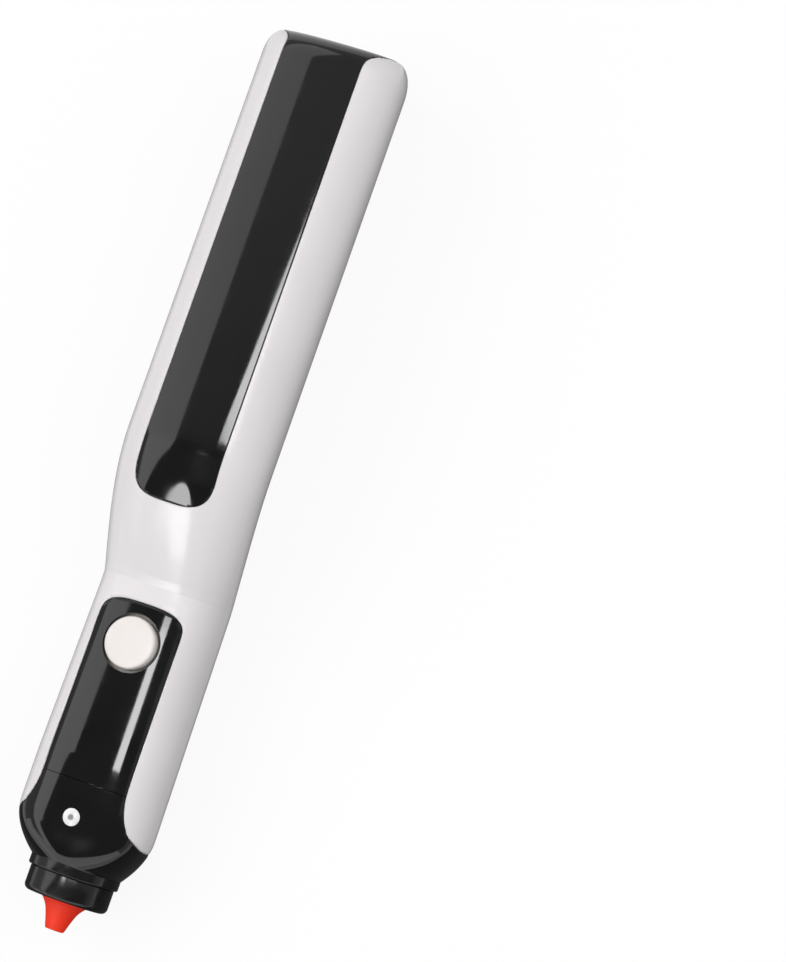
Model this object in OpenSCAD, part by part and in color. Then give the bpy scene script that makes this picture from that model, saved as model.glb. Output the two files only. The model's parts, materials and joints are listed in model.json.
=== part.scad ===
// Cordless hot glue applicator for 7 mm glue sticks, with a motor feed.
// X runs to the nozzle, Z runs up, the part stands on z = 0 and is centred in X and Y.
// Inside the modules, u is the distance from the rear end along X.

/* [Housing] */
// Height of the glue stick's axis above the table
axis_h = 10; // [9.9:0.05:10.2]
// Wall thickness of the moulded covers
wall = 1.8; // [1.6:0.05:1.9]
// Gap of the seams between the covers
seam = 0.12; // [0.08:0.02:0.2]
// Length of the straight rear body
rear_l = 85.8; // [85:0.2:94]
// Width across the rear body
rear_w = 29.6; // [29.2:0.1:32]
// Height of the rear body
rear_h = 34.2; // [34:0.1:35.4]
// Rounding of the rear end
rear_round = 6; // [5.5:0.25:7]
// Forward lean of the rear end over its height
rear_lean = 2; // [0:0.25:2.5]
// Length of the slope between the rear body and the grip
slope_l = 28.5; // [28:0.25:32]
// Length of the grip from the foot of the slope to the nose seam
grip_l = 40.5; // [39:0.1:44]
// Width of the grip at the foot of the slope
grip_w = 25.7; // [25.5:0.1:27]
// Width of the grip at the nose
grip_front_w = 27.3; // [27:0.1:28.4]
// Height of the grip
grip_h = 23.6; // [23.5:0.05:24.4]
// Length of the nose
nose_l = 16.5; // [16.2:0.1:19]
// Diameter of the nose's front end
nose_d = 18.4; // [18:0.1:18.6]

/* [Covers] */
// Width of the rear cover
cover_w = 17; // [16:0.1:17.4]
// Reach of the rear cover down the slope
cover_reach = 12.9; // [10:0.3:15]
// Width of the front panel at its rear end
panel_w = 18; // [17.8:0.1:18.6]
// Width of the front panel at the nose
panel_front_w = 18.3; // [18:0.1:19]

/* [Nozzle] */
// Diameter of the heat ring behind the collar nut
ring_d = 18.5; // [18:0.1:19]
// Length of the heat ring's flange
ring_l = 2; // [1.6:0.1:3]
// Diameter of the collar nut
collar_d = 17.2; // [16.8:0.1:18]
// Length of the collar nut
collar_l = 5; // [4.8:0.1:6]
// Length of the nozzle sleeve in front of the collar nut
tip_l = 6; // [5.6:0.1:7]
// Diameter of the nozzle sleeve at the collar nut
sleeve_d = 9.8; // [9.4:0.1:10.2]
// Diameter of the nozzle sleeve at its tip
tip_d = 3.8; // [3.8:0.1:4.6]

/* [Button] */
// Diameter of the push button
button_d = 10.4; // [9.6:0.2:10.8]
// Height of the button above the panel
button_rise = 1.5; // [1:0.1:2.2]
// Travel of the button
button_travel = 0.5; // [0.3:0.05:0.55]

/* [Feed] */
// Diameter of the glue stick
stick_d = 7; // [6.8:0.05:7.1]
// Diameter of the knurled feed roller
roller_d = 5.2; // [5:0.1:5.4]
// Teeth of the pinion on the gear head
pinion_teeth = 12; // [12:1:13]
// Teeth of the feed gear
gear_teeth = 18; // [16:1:19]
// Opening between the rollers with no stick in place
nip_gap = 6.4; // [6:0.1:6.6]

/* [Power] */
// Room over the battery cell, under the rear cover
cell_head_room = 1.7; // [1.5:0.05:2.6]
// Room between the cell's cradle and the feed frame
cell_front_room = 2.46; // [2.2:0.02:6]

/* [Hidden] */
$fn = 48;
eps = 0.01;

// Stations along the body
foot_u = rear_l + slope_l;
panel_end_u = foot_u + grip_l;
nose_end_u = panel_end_u + nose_l;
ring_end_u = nose_end_u + ring_l;
collar_end_u = ring_end_u + collar_l;
overall_l = collar_end_u + tip_l;
panel_start_u = foot_u + 3.9;
button_u = foot_u + 12.1;
lens_u = nose_end_u - 9.25;
tongue_u = nose_end_u - 7;
flare_u = tongue_u - 10.8;
cover_l = rear_l + cover_reach;
first_hook_u = 18;
last_hook_u = cover_l - 30;
hook_us = [for (k = [0:3]) mix(first_hook_u, last_hook_u, k / 3)];

// Cross-sections: widest height, untrimmed keel and roundness exponents
rear_mid = rear_h - 10.1;
rear_keel = -1;
rear_top_n = 2.3;
rear_low_n = 1.66;
grip_mid = grip_h - 11.9;
grip_keel = -0.8;
grip_top_n = 3.2;
grip_low_n = 2;
foot_soft = 1.5;
lean_l = 20;
taper_l = 9.5;
drop_l = 4.8;
round_l = 7;
end_square = 0.42;
cover_end_l = 7.5;
tail_flare_u = 6.5;
tail_flare_l = 3.6;
ring_n = 36;

// White flanks: rounded tongues at both ends, as side outlines
front_tongue = [11.5, 13.6, 11.5];
rear_tongue = [7.2, rear_h - 22, 23];
rear_tongue_z = 22.4;
back_low = 3.5;
part_z = axis_h;

// Glue channel
chan_r = stick_d / 2 + 0.3;
tube_r = chan_r + 0.6;
tube_gap = 0.1;
bush_r = chan_r + 1.4;
bush_l = 12;
bush_flange_r = bush_r + 1.1;
bush_flange_t = 1.1;
socket_l = 4;
rib_top = axis_h + 1.4;
rib_half = 8.9;
rib_t = 1.6;

// Feed drive
motor_l = 15;
head_l = 12.5;
platform_z = axis_h + 8.4;
motor_head_room = 4;
motor_h = rear_h - wall - motor_head_room - platform_z;
motor_w = 1.2 * motor_h;
motor_z = platform_z + motor_h / 2;
feed_u = rear_l + 12.2;
feed_y = stick_d / 2 + 0.1 + roller_d / 2;
gear_m = 0.5;
gear_t = 2.6;
mesh_gap = 0.1;
mesh_r = gear_m * (pinion_teeth + gear_teeth) / 2 + mesh_gap;
pinion_y = 0.6;
pinion_u = feed_u - sqrt(pow(mesh_r, 2) - pow(feed_y - pinion_y, 2));
mesh_a = atan2(pinion_y - feed_y, pinion_u - feed_u);
mesh_play = 0.12;
head_u = pinion_u - 8.2;
motor_u = head_u - motor_l;
lower_plate_z = axis_h - 2.4;
lower_plate_t = 1.2;
upper_plate_z = axis_h + 3.8;
upper_plate_t = 1.4;
plate_gap = 0.3;
plate_half = 7.8;
slot_half = stick_d / 2 + 0.1;
frame_u = motor_u - 0.4;
frame_end_u = feed_u + 14;
block_end_u = rear_l + 1;
tube_end_u = block_end_u - 0.3;
gear_z = upper_plate_z + upper_plate_t + 0.4;
shaft_r = 1;
run_gap = 0.04;
fix_gap = 0.01;
roller_z = lower_plate_z + lower_plate_t + plate_gap;
roller_h = upper_plate_z - roller_z - plate_gap;

// Pinch arm
idler_r = 2.4;
idler_y = nip_gap - stick_d / 2 + idler_r;
pivot_u = feed_u + 9.5;
pivot_y = idler_y + 1.3;
arm_r = 1.9;
leaf_t = 1;
arm_side = arm_r - 0.6;
stop_r = 0.5;
stop_gap = 0.1;
arm_pin_r = 0.9;
idler_pin_r = 0.8;
arm_len = sqrt(pow(pivot_u - feed_u, 2) + pow(pivot_y - idler_y, 2));
arm_angle = atan2(pivot_y - idler_y, pivot_u - feed_u);
spring_t = 0.25;

// Battery bay
cell_base_z = axis_h + tube_r + 0.3;
cell_r = (rear_h - wall - cell_head_room - cell_base_z) / 2;
cell_gap = 0.15;
cell_z = cell_base_z + cell_r;
cradle_half = 9;
cradle_wall = 1.5;
cradle_top = cell_z + 2;
rail_top = 19;
cradle_u = 3;
cell_u = 14;
contact_t = 0.3;
nub_l = 1;
cell_l = frame_u - cell_front_room - cradle_wall - contact_t - nub_l - cell_u;
cell_end_u = cell_u + cell_l + nub_l;
contact_half = cell_r / 2;
contact_z = cell_z - 0.75 * cell_r;
contact_h = 1.125 * cell_r;
pad_u = cell_u + 0.16 * cell_l;
pad_l = 0.6 * cell_l;
pad_half = 0.44 * cell_r;
cradle_end_u = cell_end_u + contact_t + cradle_wall;

// Charge socket
port_w = 8.94;
port_h = 3.26;
port_l = 7.35;
port_wall = 0.3;
board_t = 1;
charge_board_z = axis_h + bush_r + 2.67;
port_z = charge_board_z + board_t + port_h / 2;
shelf_u = cell_u - contact_t - cradle_wall;
port_u = 0.5 + lean_at(0, port_z);
charge_board_u = wall + 0.5 + lean_at(0, port_z);

// Melt chamber, under the control board
head_h = grip_h - wall - axis_h - chan_r;
sleeve_u = frame_end_u + 0.5;
sleeve_r = chan_r + 1.6;
sleeve_bore_r = stick_d / 2 - 0.1;
spigot_r = chan_r + 0.8;
chamber_u = foot_u + 15;
chamber_r = chan_r + 1.8;
chamber_end_u = nose_end_u - 9;
flat_z = chan_r + 1;
heater_u = chamber_u + 3.5;
heater_l = 20;
heater_w = 7;
heater_t = 1.8;
clip_t = 0.3;
clip_gap = 0.02;
clip_u = chamber_u + 7;
clip_l = 9;
holder_r = chan_r + 2.7 + 0.1 * head_h;
holder_gap = 0.2;
holder_t = 2.5;
holder_rear_u = chamber_u + 0.5;
holder_front_u = chamber_end_u - 5;
melt_r = chan_r - 0.6;
outlet_r = 1.6;
thread_r = 3.2;
thread_l = 6;

// Indicator
lens_r = 1.75;
lens_tilt = atan((crown(lens_u - 1) - crown(lens_u + 1)) / 2);

// Nozzle end
tip_body_r = 5;
tip_cone_r = 3.6;
tip_cone_end_r = 1.3;
tip_shoulder_u = ring_end_u + 1.3;
tip_end_u = overall_l - 0.8;
orifice_r = 0.8;
spigot_out_r = 7.2;
spigot_in_r = 6.2;
spigot_l = collar_l - 1.8;
sleeve_flange_r = 6;

// Control board, switch and button
control_z = axis_h + holder_r + holder_gap;
control_top = control_z + board_t;
cap_room = grip_h - wall - control_top;
control_u = panel_start_u + 1.5;
control_l = 31;
control_half = 8.6;
post_y = 7.2;
post_us = [control_u + 2.8, control_u + control_l - 2.8];
post_r = 1.5;
board_screw_r = 0.7;
switch_w = 6;
switch_h = 1.6;
plunger_r = 1.6;
plunger_top = control_top + 2.3;
plunger_well_z = control_top + 0.3;
plunger_low = plunger_well_z + button_travel + 0.2;
button_gap = 0.4;
cap_flange_r = button_d / 2 + 0.9;
cap_inner_r = button_d / 2 - 0.9;
cap_flange_z = control_top + 0.515 * cap_room;
cap_flange_t = 0.212 * cap_room;
cap_top = grip_h + button_rise;

// Screws from below
screw_r = 1.1;
screw_head_r = 1.7;
screw_head_h = 1.2;
screw_l = 9;
screw_seat_z = 7;
screw_gap = 0.05;
pilot_top = screw_seat_z + screw_l + 0.6;
cradle_screw_us = [cell_u + 10, cell_end_u - 7];
cradle_screw_y = 6.8;
boss_r = 2.2;
boss_top = 7.2;
front_screws = [[foot_u + 1, 8.4], [panel_end_u - 3.1, 9.2]];

// Share of the way down the slope, with a softened foot
function ramp(t) = let (c = min(1, max(0, t))) c * c * (1.5 - 0.5 * c);
function slope_at(u) =
  let (t = (u - rear_l) / slope_l, h = foot_soft / slope_l)
  (ramp(t - h) + 4 * ramp(t) + ramp(t + h)) / 6;
// Share of the way along the nose, for its width and for its top line
function share(u, from, power) =
  pow(min(1, max(0, (u - from) / (nose_end_u - from))), power);
function nose_at(u) = share(u, nose_end_u - taper_l, 1.9);
function drop_at(u) =
  (share(u, panel_end_u - drop_l, 1.2) + share(u, nose_end_u - round_l, 2.2)) / 2;
function mix(a, b, k) = a + (b - a) * k;
// Inset of the rounded rear end for a skin that lies in_by inside the outer one
function end_inset(u, in_by) =
  u >= rear_round ? 0 :
  let (r = rear_round - in_by)
  r - sqrt(max(0, r * r - pow(rear_round - u, 2)));
// Forward shift of the leaning rear end at height z
function lean_at(u, z) =
  rear_lean * max(0, 1 - u / lean_l) * (z - rear_round) / (rear_h - rear_round);
function grip_half(u) =
  mix(grip_w, grip_front_w, min(1, max(0, (u - foot_u) / (grip_l + 5.7)))) / 2;
function half_w(u) =
  mix(mix(rear_w / 2, grip_half(u), slope_at(u)), nose_d / 2, nose_at(u));
function crown(u) =
  mix(mix(rear_h, grip_h, slope_at(u)), axis_h + nose_d / 2, drop_at(u));
function mid(u) = mix(mix(rear_mid, grip_mid, slope_at(u)), axis_h, nose_at(u));
function keel(u) =
  mix(mix(rear_keel, grip_keel, slope_at(u)), axis_h - nose_d / 2, nose_at(u));
function top_n(u) = mix(mix(rear_top_n, grip_top_n, slope_at(u)), 2, nose_at(u));
function low_n(u) = mix(mix(rear_low_n, grip_low_n, slope_at(u)), 2, nose_at(u));
// One point of the skin at station u and angle a from the top
function skin_pt(u, a, in_by) =
  let (
    rolled = end_inset(u, in_by),
    inset = in_by + rolled,
    n = cos(a) >= 0 ? top_n(u) : low_n(u),
    w = half_w(u) - in_by - end_square * rolled,
    up = crown(u) - mid(u) - inset,
    down = mid(u) - keel(u) - inset,
    c = cos(a),
    s = sin(a),
    z = c >= 0 ? mid(u) + up * pow(c, 2 / n) :
      max(inset, mid(u) - down * pow(-c, 2 / n))
  )
  [u + lean_at(u, z), sign(s) * w * pow(abs(s), 2 / n), z];
// Height of the skin's top side at y
function skin_top(u, y, in_by) =
  let (n = top_n(u), w = half_w(u) - in_by)
  mid(u) + (crown(u) - mid(u) - in_by) * pow(1 - pow(abs(y) / w, n), 1 / n);
function all_stations(in_by) = concat(
  [for (a = [0:15:90]) rear_round - (rear_round - in_by) * cos(a)],
  [rear_l - 2],
  [for (k = [0:9]) rear_l + slope_l * k / 8.5],
  [foot_u + grip_l / 2],
  [for (k = [0:4]) mix(panel_end_u - drop_l - 0.5, nose_end_u - taper_l, k / 4)],
  [for (k = [1:8]) nose_end_u - taper_l * (8 - k) / 8]
);
function stations(in_by, from, to) = concat(
  [from],
  [for (u = all_stations(in_by)) if (u > from + 0.3 && u < to - 0.3) u],
  [to]
);
// Closed end curve of an outline: half an oval of roundness n
function oval(a, up, down, n) = [
  for (t = [-90:6:90])
    [a * pow(cos(t), 2 / n), (t < 0 ? -down : up) * pow(abs(sin(t)), 2 / n)]
];

module in_frame() {
  translate([-overall_l / 2, 0, 0])
    children();
}

module along_x(u, y, z, l, r, r2 = undef) {
  translate([u, y, z])
    rotate([0, 90, 0])
      cylinder(h = l, r1 = r, r2 = is_undef(r2) ? r : r2);
}

module upright(u, y, z, h, r) {
  translate([u, y, z])
    cylinder(h = h, r = r);
}

module block(u, l, y, w, z, h) {
  translate([u, y, z])
    cube([l, w, h]);
}

// Solid inside the skin that lies in_by inside the outer one
module skin_solid(in_by, from, to) {
  us = stations(in_by, from, to);
  last = len(us) - 1;
  polyhedron(
    points = [
      for (u = us)
        for (i = [0:ring_n - 1])
          skin_pt(u, i * 360 / ring_n, in_by)
    ],
    faces = concat(
      [[for (i = [ring_n - 1:-1:0]) i]],
      [
        for (k = [0:last - 1])
          for (i = [0:ring_n - 1])
            let (
              a = k * ring_n + i,
              b = k * ring_n + (i + 1) % ring_n
            )
            each [[a, b, b + ring_n], [a, b + ring_n, a + ring_n]]
      ],
      [[for (i = [0:ring_n - 1]) last * ring_n + i]]
    )
  );
}

// Moulded skin between two stations, closed at the rear end only
module skin_wall(from, to) {
  difference() {
    skin_solid(0, from, to);
    skin_solid(wall, max(wall, from - 1), to + 1);
  }
}

// Side outline of the white flanks, grown by the seam for the black covers
module flank(grow) {
  tip = front_tongue;
  tail = rear_tongue;
  front = [
    for (p = oval(tip[0] + grow, tip[1] + grow, tip[2] + grow, 2.6))
      [tongue_u - tip[0] + p[0], axis_h + p[1]]
  ];
  tail_u = 0.3 + lean_at(0, rear_tongue_z) + tail[0];
  rear = [
    for (p = oval(tail[0] + grow, tail[1] + grow, tail[2] + grow, 2.4))
      [tail_u - p[0], rear_tongue_z + p[1]]
  ];
  top = 2 * rear_h;
  rotate([90, 0, 0])
    linear_extrude(height = 2 * rear_w, center = true)
      polygon(concat(
        front,
        [[tongue_u - tip[0], top], [tail_u, top]],
        [for (i = [len(rear) - 1:-1:0]) rear[i]]
      ));
}

// Opening for the rear cover, shrunk by the seam for the cover itself
module rear_opening(shrink) {
  half = cover_w / 2 - shrink;
  tail = [
    for (k = [0:8])
      let (run = tail_flare_u * k / 8)
        [tail_flare_u - run, half + pow(run / tail_flare_l, 4)]
  ];
  nose = [
    for (p = oval(cover_end_l, half, half, 3.2))
      [cover_l - cover_end_l - shrink + p[0], p[1]]
  ];
  translate([0, 0, part_z + shrink])
    linear_extrude(height = 2 * rear_h)
      polygon(concat(
        [[-2, -rear_w]],
        [for (i = [len(tail) - 1:-1:0]) [tail[i][0], -tail[i][1]]],
        nose,
        tail,
        [[-2, rear_w]]
      ));
  block(-2, 2 + rear_tongue[0], -half, 2 * half, back_low + shrink, rear_h);
}

// Opening for the front panel and the top of the nose, flared between the white tongues
module front_opening(shrink) {
  half = panel_w / 2 - shrink;
  front_half = panel_front_w / 2 - shrink;
  rear = [for (p = oval(4.5, half, half, 3)) [panel_start_u + 4.5 + shrink - p[0], p[1]]];
  flare = [for (k = [0:9]) [flare_u + 1.3 * k, front_half + pow(1.3 * k / 6, 2.3)]];
  translate([0, 0, part_z + shrink])
    linear_extrude(height = 2 * rear_h)
      polygon(concat(
        [for (i = [len(rear) - 1:-1:0]) rear[i]],
        [for (p = flare) [p[0], -p[1]]],
        [[overall_l, -rear_w], [overall_l, rear_w]],
        [for (i = [len(flare) - 1:-1:0]) flare[i]]
      ));
}

// Thin triangular web that braces a boss along X
module gusset(u, y, z, run, rise) {
  translate([u, y, z])
    rotate([90, 0, 0])
      linear_extrude(height = 1, center = true)
        polygon([[0, 0], [run, 0], [0, rise]]);
}

// Screw post of the upper housing with a web to the flank
module upper_post(u, y) {
  reach = half_w(u) - wall / 2 - y;
  for (side = [-1, 1]) {
    upright(u, side * y, part_z, boss_top, boss_r);
    block(u - 0.6, 1.2, side > 0 ? y : -y - reach, reach, part_z, boss_top);
  }
}

// Upper white housing: both flanks, the bridge and the front screw posts
module upper_housing() {
  in_frame()
    color("Gainsboro")
      difference() {
        union() {
          difference() {
            intersection() {
              skin_wall(0, tongue_u + 1);
              flank(0);
              block(-1, overall_l, -rear_w, 2 * rear_w, part_z, rear_h);
            }
            rear_opening(0);
            front_opening(0);
          }
          for (s = front_screws)
            upper_post(s[0], s[1]);
        }
        for (s = front_screws)
          for (side = [-1, 1])
            upright(s[0], side * s[1], part_z - 1, pilot_top + 1 - part_z, screw_r + screw_gap);
      }
}

// Cross rib of the lower housing with a saddle for a round part
module lower_rib(u, t, top, notch_r) {
  difference() {
    block(u, t, -rib_half, 2 * rib_half, 0, top);
    along_x(u - 1, 0, axis_h, t + 2, notch_r);
    block(u - 1, t + 2, -notch_r, 2 * notch_r, axis_h, rear_h);
  }
}

module lower_boss(u, y, top) {
  upright(u, y, 0, screw_seat_z + 1, screw_head_r + 1);
  upright(u, y, 0, top, boss_r);
  gusset(u, y, 0, 5, top - 1);
  gusset(u, y, 0, -5, top - 1);
}

module lower_ribs() {
  for (u = [cradle_u + bush_l, cell_u + cell_l / 2, cell_end_u - 2.5])
    lower_rib(u, rib_t, rib_top, tube_r + tube_gap);
  for (u = [motor_u + 3, block_end_u - 2.4])
    lower_rib(u, rib_t, rib_top, tube_r + tube_gap);
  lower_rib(frame_end_u - 2.4, rib_t, lower_plate_z, chan_r + 0.4);
  lower_rib(foot_u + 4, rib_t, part_z - 0.4, sleeve_r + tube_gap);
  for (u = [holder_rear_u, holder_front_u])
    lower_rib(u, holder_t, part_z - 0.4, holder_r + tube_gap);
}

// Lower white housing: belly with a flat to stand on, ribs and screw bosses
module lower_housing() {
  in_frame()
    color("Gainsboro")
      difference() {
        union() {
          difference() {
            intersection() {
              skin_wall(0, tongue_u + 1);
              flank(0);
              block(-1, overall_l, -rear_w, 2 * rear_w, -1, part_z + 1);
            }
            rear_opening(0);
          }
          intersection() {
            skin_solid(wall - 0.2, cradle_u + 4, tongue_u - 2);
            union() {
              lower_ribs();
              for (side = [-1, 1]) {
                for (u = cradle_screw_us)
                  lower_boss(u, side * cradle_screw_y, rib_top);
                for (s = front_screws)
                  lower_boss(s[0], side * s[1], part_z);
              }
            }
          }
        }
        for (side = [-1, 1]) {
          for (u = cradle_screw_us)
            screw_hole(u, side * cradle_screw_y);
          for (s = front_screws)
            screw_hole(s[0], side * s[1]);
        }
      }
}

module screw_hole(u, y) {
  upright(u, y, -1, rear_h, screw_r + 0.15);
  upright(u, y, -1, 1 + screw_seat_z, screw_head_r + 0.25);
}

// Snap hook under one long edge of the rear cover
module cover_hook(u, side) {
  y = cover_w / 2 - 1.2;
  top = skin_top(u, y, wall) + 0.3;
  catch_z = skin_top(u, cover_w / 2 + 0.6, wall) - 0.2;
  translate([u - 2, 0, 0])
    rotate([90, 0, 90])
      linear_extrude(height = 4)
        polygon([
          [side * y, top],
          [side * y, catch_z - 1.6],
          [side * (y + 0.8), catch_z - 1.6],
          [side * (y + 1.6), catch_z - 0.4],
          [side * (y + 1.6), catch_z],
          [side * (y + 0.8), catch_z],
          [side * (y + 0.8), top]
        ]);
}

// Black rear cover over the top of the battery bay and the rear end
module rear_cover() {
  in_frame()
    color("DimGray")
      difference() {
        union() {
          intersection() {
            skin_wall(0, cover_l + 1);
            union() {
              rear_opening(seam);
              difference() {
                block(-1, 2 + rear_lean + rear_tongue[0], -rear_w, 2 * rear_w, -1, 2 * rear_h);
                flank(seam);
              }
            }
          }
          for (u = hook_us)
            for (side = [-1, 1])
              cover_hook(u, side);
        }
        along_x(-1, 0, axis_h, wall + 2, bush_r + tube_gap);
        along_x(wall, 0, axis_h, bush_flange_t + 2, bush_flange_r + 0.2);
        port_slot(-1, wall + rear_lean + 2, port_w + 0.4, port_h + 0.4);
      }
}

// Slot with round ends, the outline of the charge socket
module port_slot(u, l, w, h) {
  translate([u, 0, port_z])
    rotate([90, 0, 90])
      linear_extrude(height = l) {
        square([w - h, h], center = true);
        for (side = [-1, 1])
          translate([side * (w - h) / 2, 0])
            circle(d = h);
      }
}

// Black front panel with the button hole and the posts of the control board
module front_panel() {
  in_frame()
    color("DimGray")
      difference() {
        union() {
          intersection() {
            skin_wall(panel_start_u - 2, panel_end_u + 2);
            front_opening(seam);
            block(0, panel_end_u, -rear_w, 2 * rear_w, 0, rear_h);
          }
          for (u = post_us)
            for (side = [-1, 1])
              upright(u, side * post_y, control_top, grip_h - 2.3 - control_top, post_r);
        }
        upright(button_u, 0, 0, 2 * grip_h, button_d / 2 + button_gap);
        for (u = post_us)
          for (side = [-1, 1])
            upright(u, side * post_y, control_z, board_t + 2.8, board_screw_r + 0.05);
      }
}

// Black nose between the white tongues, with a hole for the hot nozzle
module nose_cone() {
  in_frame()
    color("DimGray")
      difference() {
        intersection() {
          difference() {
            skin_solid(0, panel_end_u + seam, nose_end_u);
            skin_solid(wall, panel_end_u - 1, nose_end_u - 2);
          }
          union() {
            front_opening(seam);
            difference() {
              block(tongue_u - 2 * front_tongue[0], overall_l, -rear_w, 2 * rear_w, -1, 2 * rear_h);
              flank(seam);
            }
          }
        }
        along_x(nose_end_u - 3, 0, axis_h, 4, tip_body_r + 0.6);
        lens_frame()
          translate([0, 0, -6])
            cylinder(h = 12, r = lens_r + 0.05);
      }
}

// Frame on the nose's top at the indicator, with Z along the outward normal
module lens_frame() {
  translate([lens_u, 0, crown(lens_u)])
    rotate([0, lens_tilt, 0])
      children();
}

// Clear indicator lens with a low dome
module indicator_lens() {
  in_frame()
    color("White")
      lens_frame() {
        translate([0, 0, -2])
          cylinder(h = 2, r = lens_r);
        intersection() {
          cylinder(h = 1, r = lens_r);
          translate([0, 0, -4.2])
            sphere(r = 4.6);
        }
      }
}

// Small board with the indicator light, under the lens
module indicator_board() {
  in_frame()
    color("SeaGreen")
      lens_frame() {
        translate([-2.2, -2.2, -3.4])
          cube([4.4, 4.4, 0.6]);
        translate([-0.8, -0.8, -2.8])
          cube([1.6, 1.6, 0.7]);
      }
}

// Heat ring: flange against the nose and threaded spigot for the collar nut
module heat_ring() {
  in_frame()
    color("DimGray")
      difference() {
        union() {
          along_x(nose_end_u, 0, axis_h, ring_l - 0.4, ring_d / 2);
          along_x(ring_end_u - 0.4, 0, axis_h, 0.4, ring_d / 2, ring_d / 2 - 0.4);
          along_x(nose_end_u, 0, axis_h, ring_l + spigot_l, spigot_out_r);
        }
        along_x(nose_end_u - 1, 0, axis_h, ring_l + spigot_l + 2, spigot_in_r);
      }
}

// Collar nut that holds the nozzle sleeve
module collar_nut() {
  round_r = 1.2;
  half = collar_d / 2;
  in_frame()
    color("DimGray")
      translate([0, 0, axis_h])
        rotate([0, 90, 0])
          rotate_extrude()
            difference() {
              union() {
                translate([0, ring_end_u])
                  square([half, collar_l - round_r]);
                translate([0, ring_end_u])
                  square([half - round_r, collar_l]);
                translate([half - round_r, collar_end_u - round_r])
                  circle(r = round_r);
              }
              translate([-1, ring_end_u - 1])
                square([1 + spigot_out_r + 0.1, 1 + spigot_l + 0.1]);
              translate([-1, 0])
                square([1 + sleeve_d / 2 + 0.1, 2 * overall_l]);
            }
}

// Silicone nozzle sleeve with a flared foot behind the collar nut's lip
module nozzle_sleeve() {
  base_u = tip_shoulder_u + 0.1;
  foot_r = sleeve_d / 2;
  neck_r = foot_r * 0.7;
  end_r = tip_d / 2;
  in_frame()
    color("OrangeRed")
      difference() {
        union() {
          along_x(base_u, 0, axis_h, ring_end_u + spigot_l - base_u, sleeve_flange_r);
          along_x(base_u, 0, axis_h, collar_end_u + eps - base_u, foot_r);
          along_x(collar_end_u, 0, axis_h, 0.8, foot_r, foot_r * 0.84);
          along_x(collar_end_u + 0.8, 0, axis_h, 1.4, foot_r * 0.84, neck_r);
          along_x(collar_end_u + 2.2, 0, axis_h, tip_l - 2.2, neck_r, end_r);
        }
        along_x(tip_shoulder_u, 0, axis_h, tip_end_u - tip_shoulder_u,
          tip_cone_r + 0.05, tip_cone_end_r + 0.05);
        along_x(tip_end_u - 1, 0, axis_h, 4, orifice_r + 0.15);
      }
}

// Brass nozzle tip, screwed over the melt chamber's thread
module nozzle_tip() {
  in_frame()
    color("Goldenrod")
      difference() {
        union() {
          along_x(chamber_end_u + 0.2, 0, axis_h, tip_shoulder_u - chamber_end_u - 0.2, tip_body_r);
          along_x(tip_shoulder_u, 0, axis_h, tip_end_u - tip_shoulder_u, tip_cone_r, tip_cone_end_r);
        }
        along_x(chamber_end_u, 0, axis_h, thread_l + 0.4, thread_r + 0.05);
        along_x(chamber_end_u, 0, axis_h, tip_end_u, orifice_r);
        along_x(chamber_end_u + thread_l + 0.3, 0, axis_h,
          tip_end_u - chamber_end_u - thread_l - 3, outlet_r, orifice_r);
      }
}

// Aluminium melt chamber: tapered bore, flats for the heater plates
module melt_chamber() {
  funnel_l = 8;
  in_frame()
    color("Silver")
      difference() {
        union() {
          along_x(chamber_u - 6, 0, axis_h, 7, spigot_r);
          along_x(chamber_u, 0, axis_h, chamber_end_u - chamber_u, chamber_r);
          along_x(chamber_end_u - 1, 0, axis_h, thread_l + 1, thread_r);
        }
        along_x(chamber_u - 7, 0, axis_h, chamber_end_u - chamber_u - funnel_l + 7, chan_r, melt_r);
        along_x(chamber_end_u - funnel_l - eps, 0, axis_h, funnel_l - 1, melt_r, outlet_r);
        along_x(chamber_end_u - 4, 0, axis_h, thread_l + 5, outlet_r);
        for (side = [-1, 1])
          block(heater_u - 0.5, heater_l + 1, -chamber_r - 1, 2 * chamber_r + 2,
            axis_h + (side > 0 ? flat_z : -flat_z - 5), 5);
      }
}

// Two ceramic heater plates on the melt chamber's flats
module heater_plates() {
  in_frame()
    color("WhiteSmoke")
      for (side = [-1, 1])
        block(heater_u, heater_l, -heater_w / 2, heater_w,
          axis_h + (side > 0 ? flat_z : -flat_z - heater_t), heater_t);
}

// Spring clip that presses the heater plates on
module heater_clip() {
  half_y = chamber_r + 0.15;
  half_z = flat_z + heater_t + clip_gap;
  in_frame()
    color("LightSteelBlue")
      difference() {
        block(clip_u, clip_l, -half_y - clip_t, 2 * (half_y + clip_t),
          axis_h - half_z - clip_t, 2 * (half_z + clip_t));
        block(clip_u - 1, clip_l + 2, -half_y, 2 * half_y, axis_h - half_z, 2 * half_z);
        block(clip_u - 1, clip_l + 2, -2 * half_y, 2 * half_y - heater_w / 2,
          axis_h - half_z + 0.8, 2 * half_z - 1.6);
      }
}

// Two holder rings that carry the melt chamber in the lower housing
module holder_rings() {
  in_frame()
    color("Ivory")
      for (u = [holder_rear_u, holder_front_u])
        difference() {
          along_x(u, 0, axis_h, holder_t, holder_r);
          along_x(u - 1, 0, axis_h, holder_t + 2, chamber_r + 0.05);
        }
}

// Temperature sensor bead beside the melt chamber
module thermistor() {
  bead_r = 0.9;
  in_frame()
    color("SaddleBrown")
      along_x(clip_u + clip_l + 0.8, chamber_r + bead_r + 0.05, axis_h, 3, bead_r);
}

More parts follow.
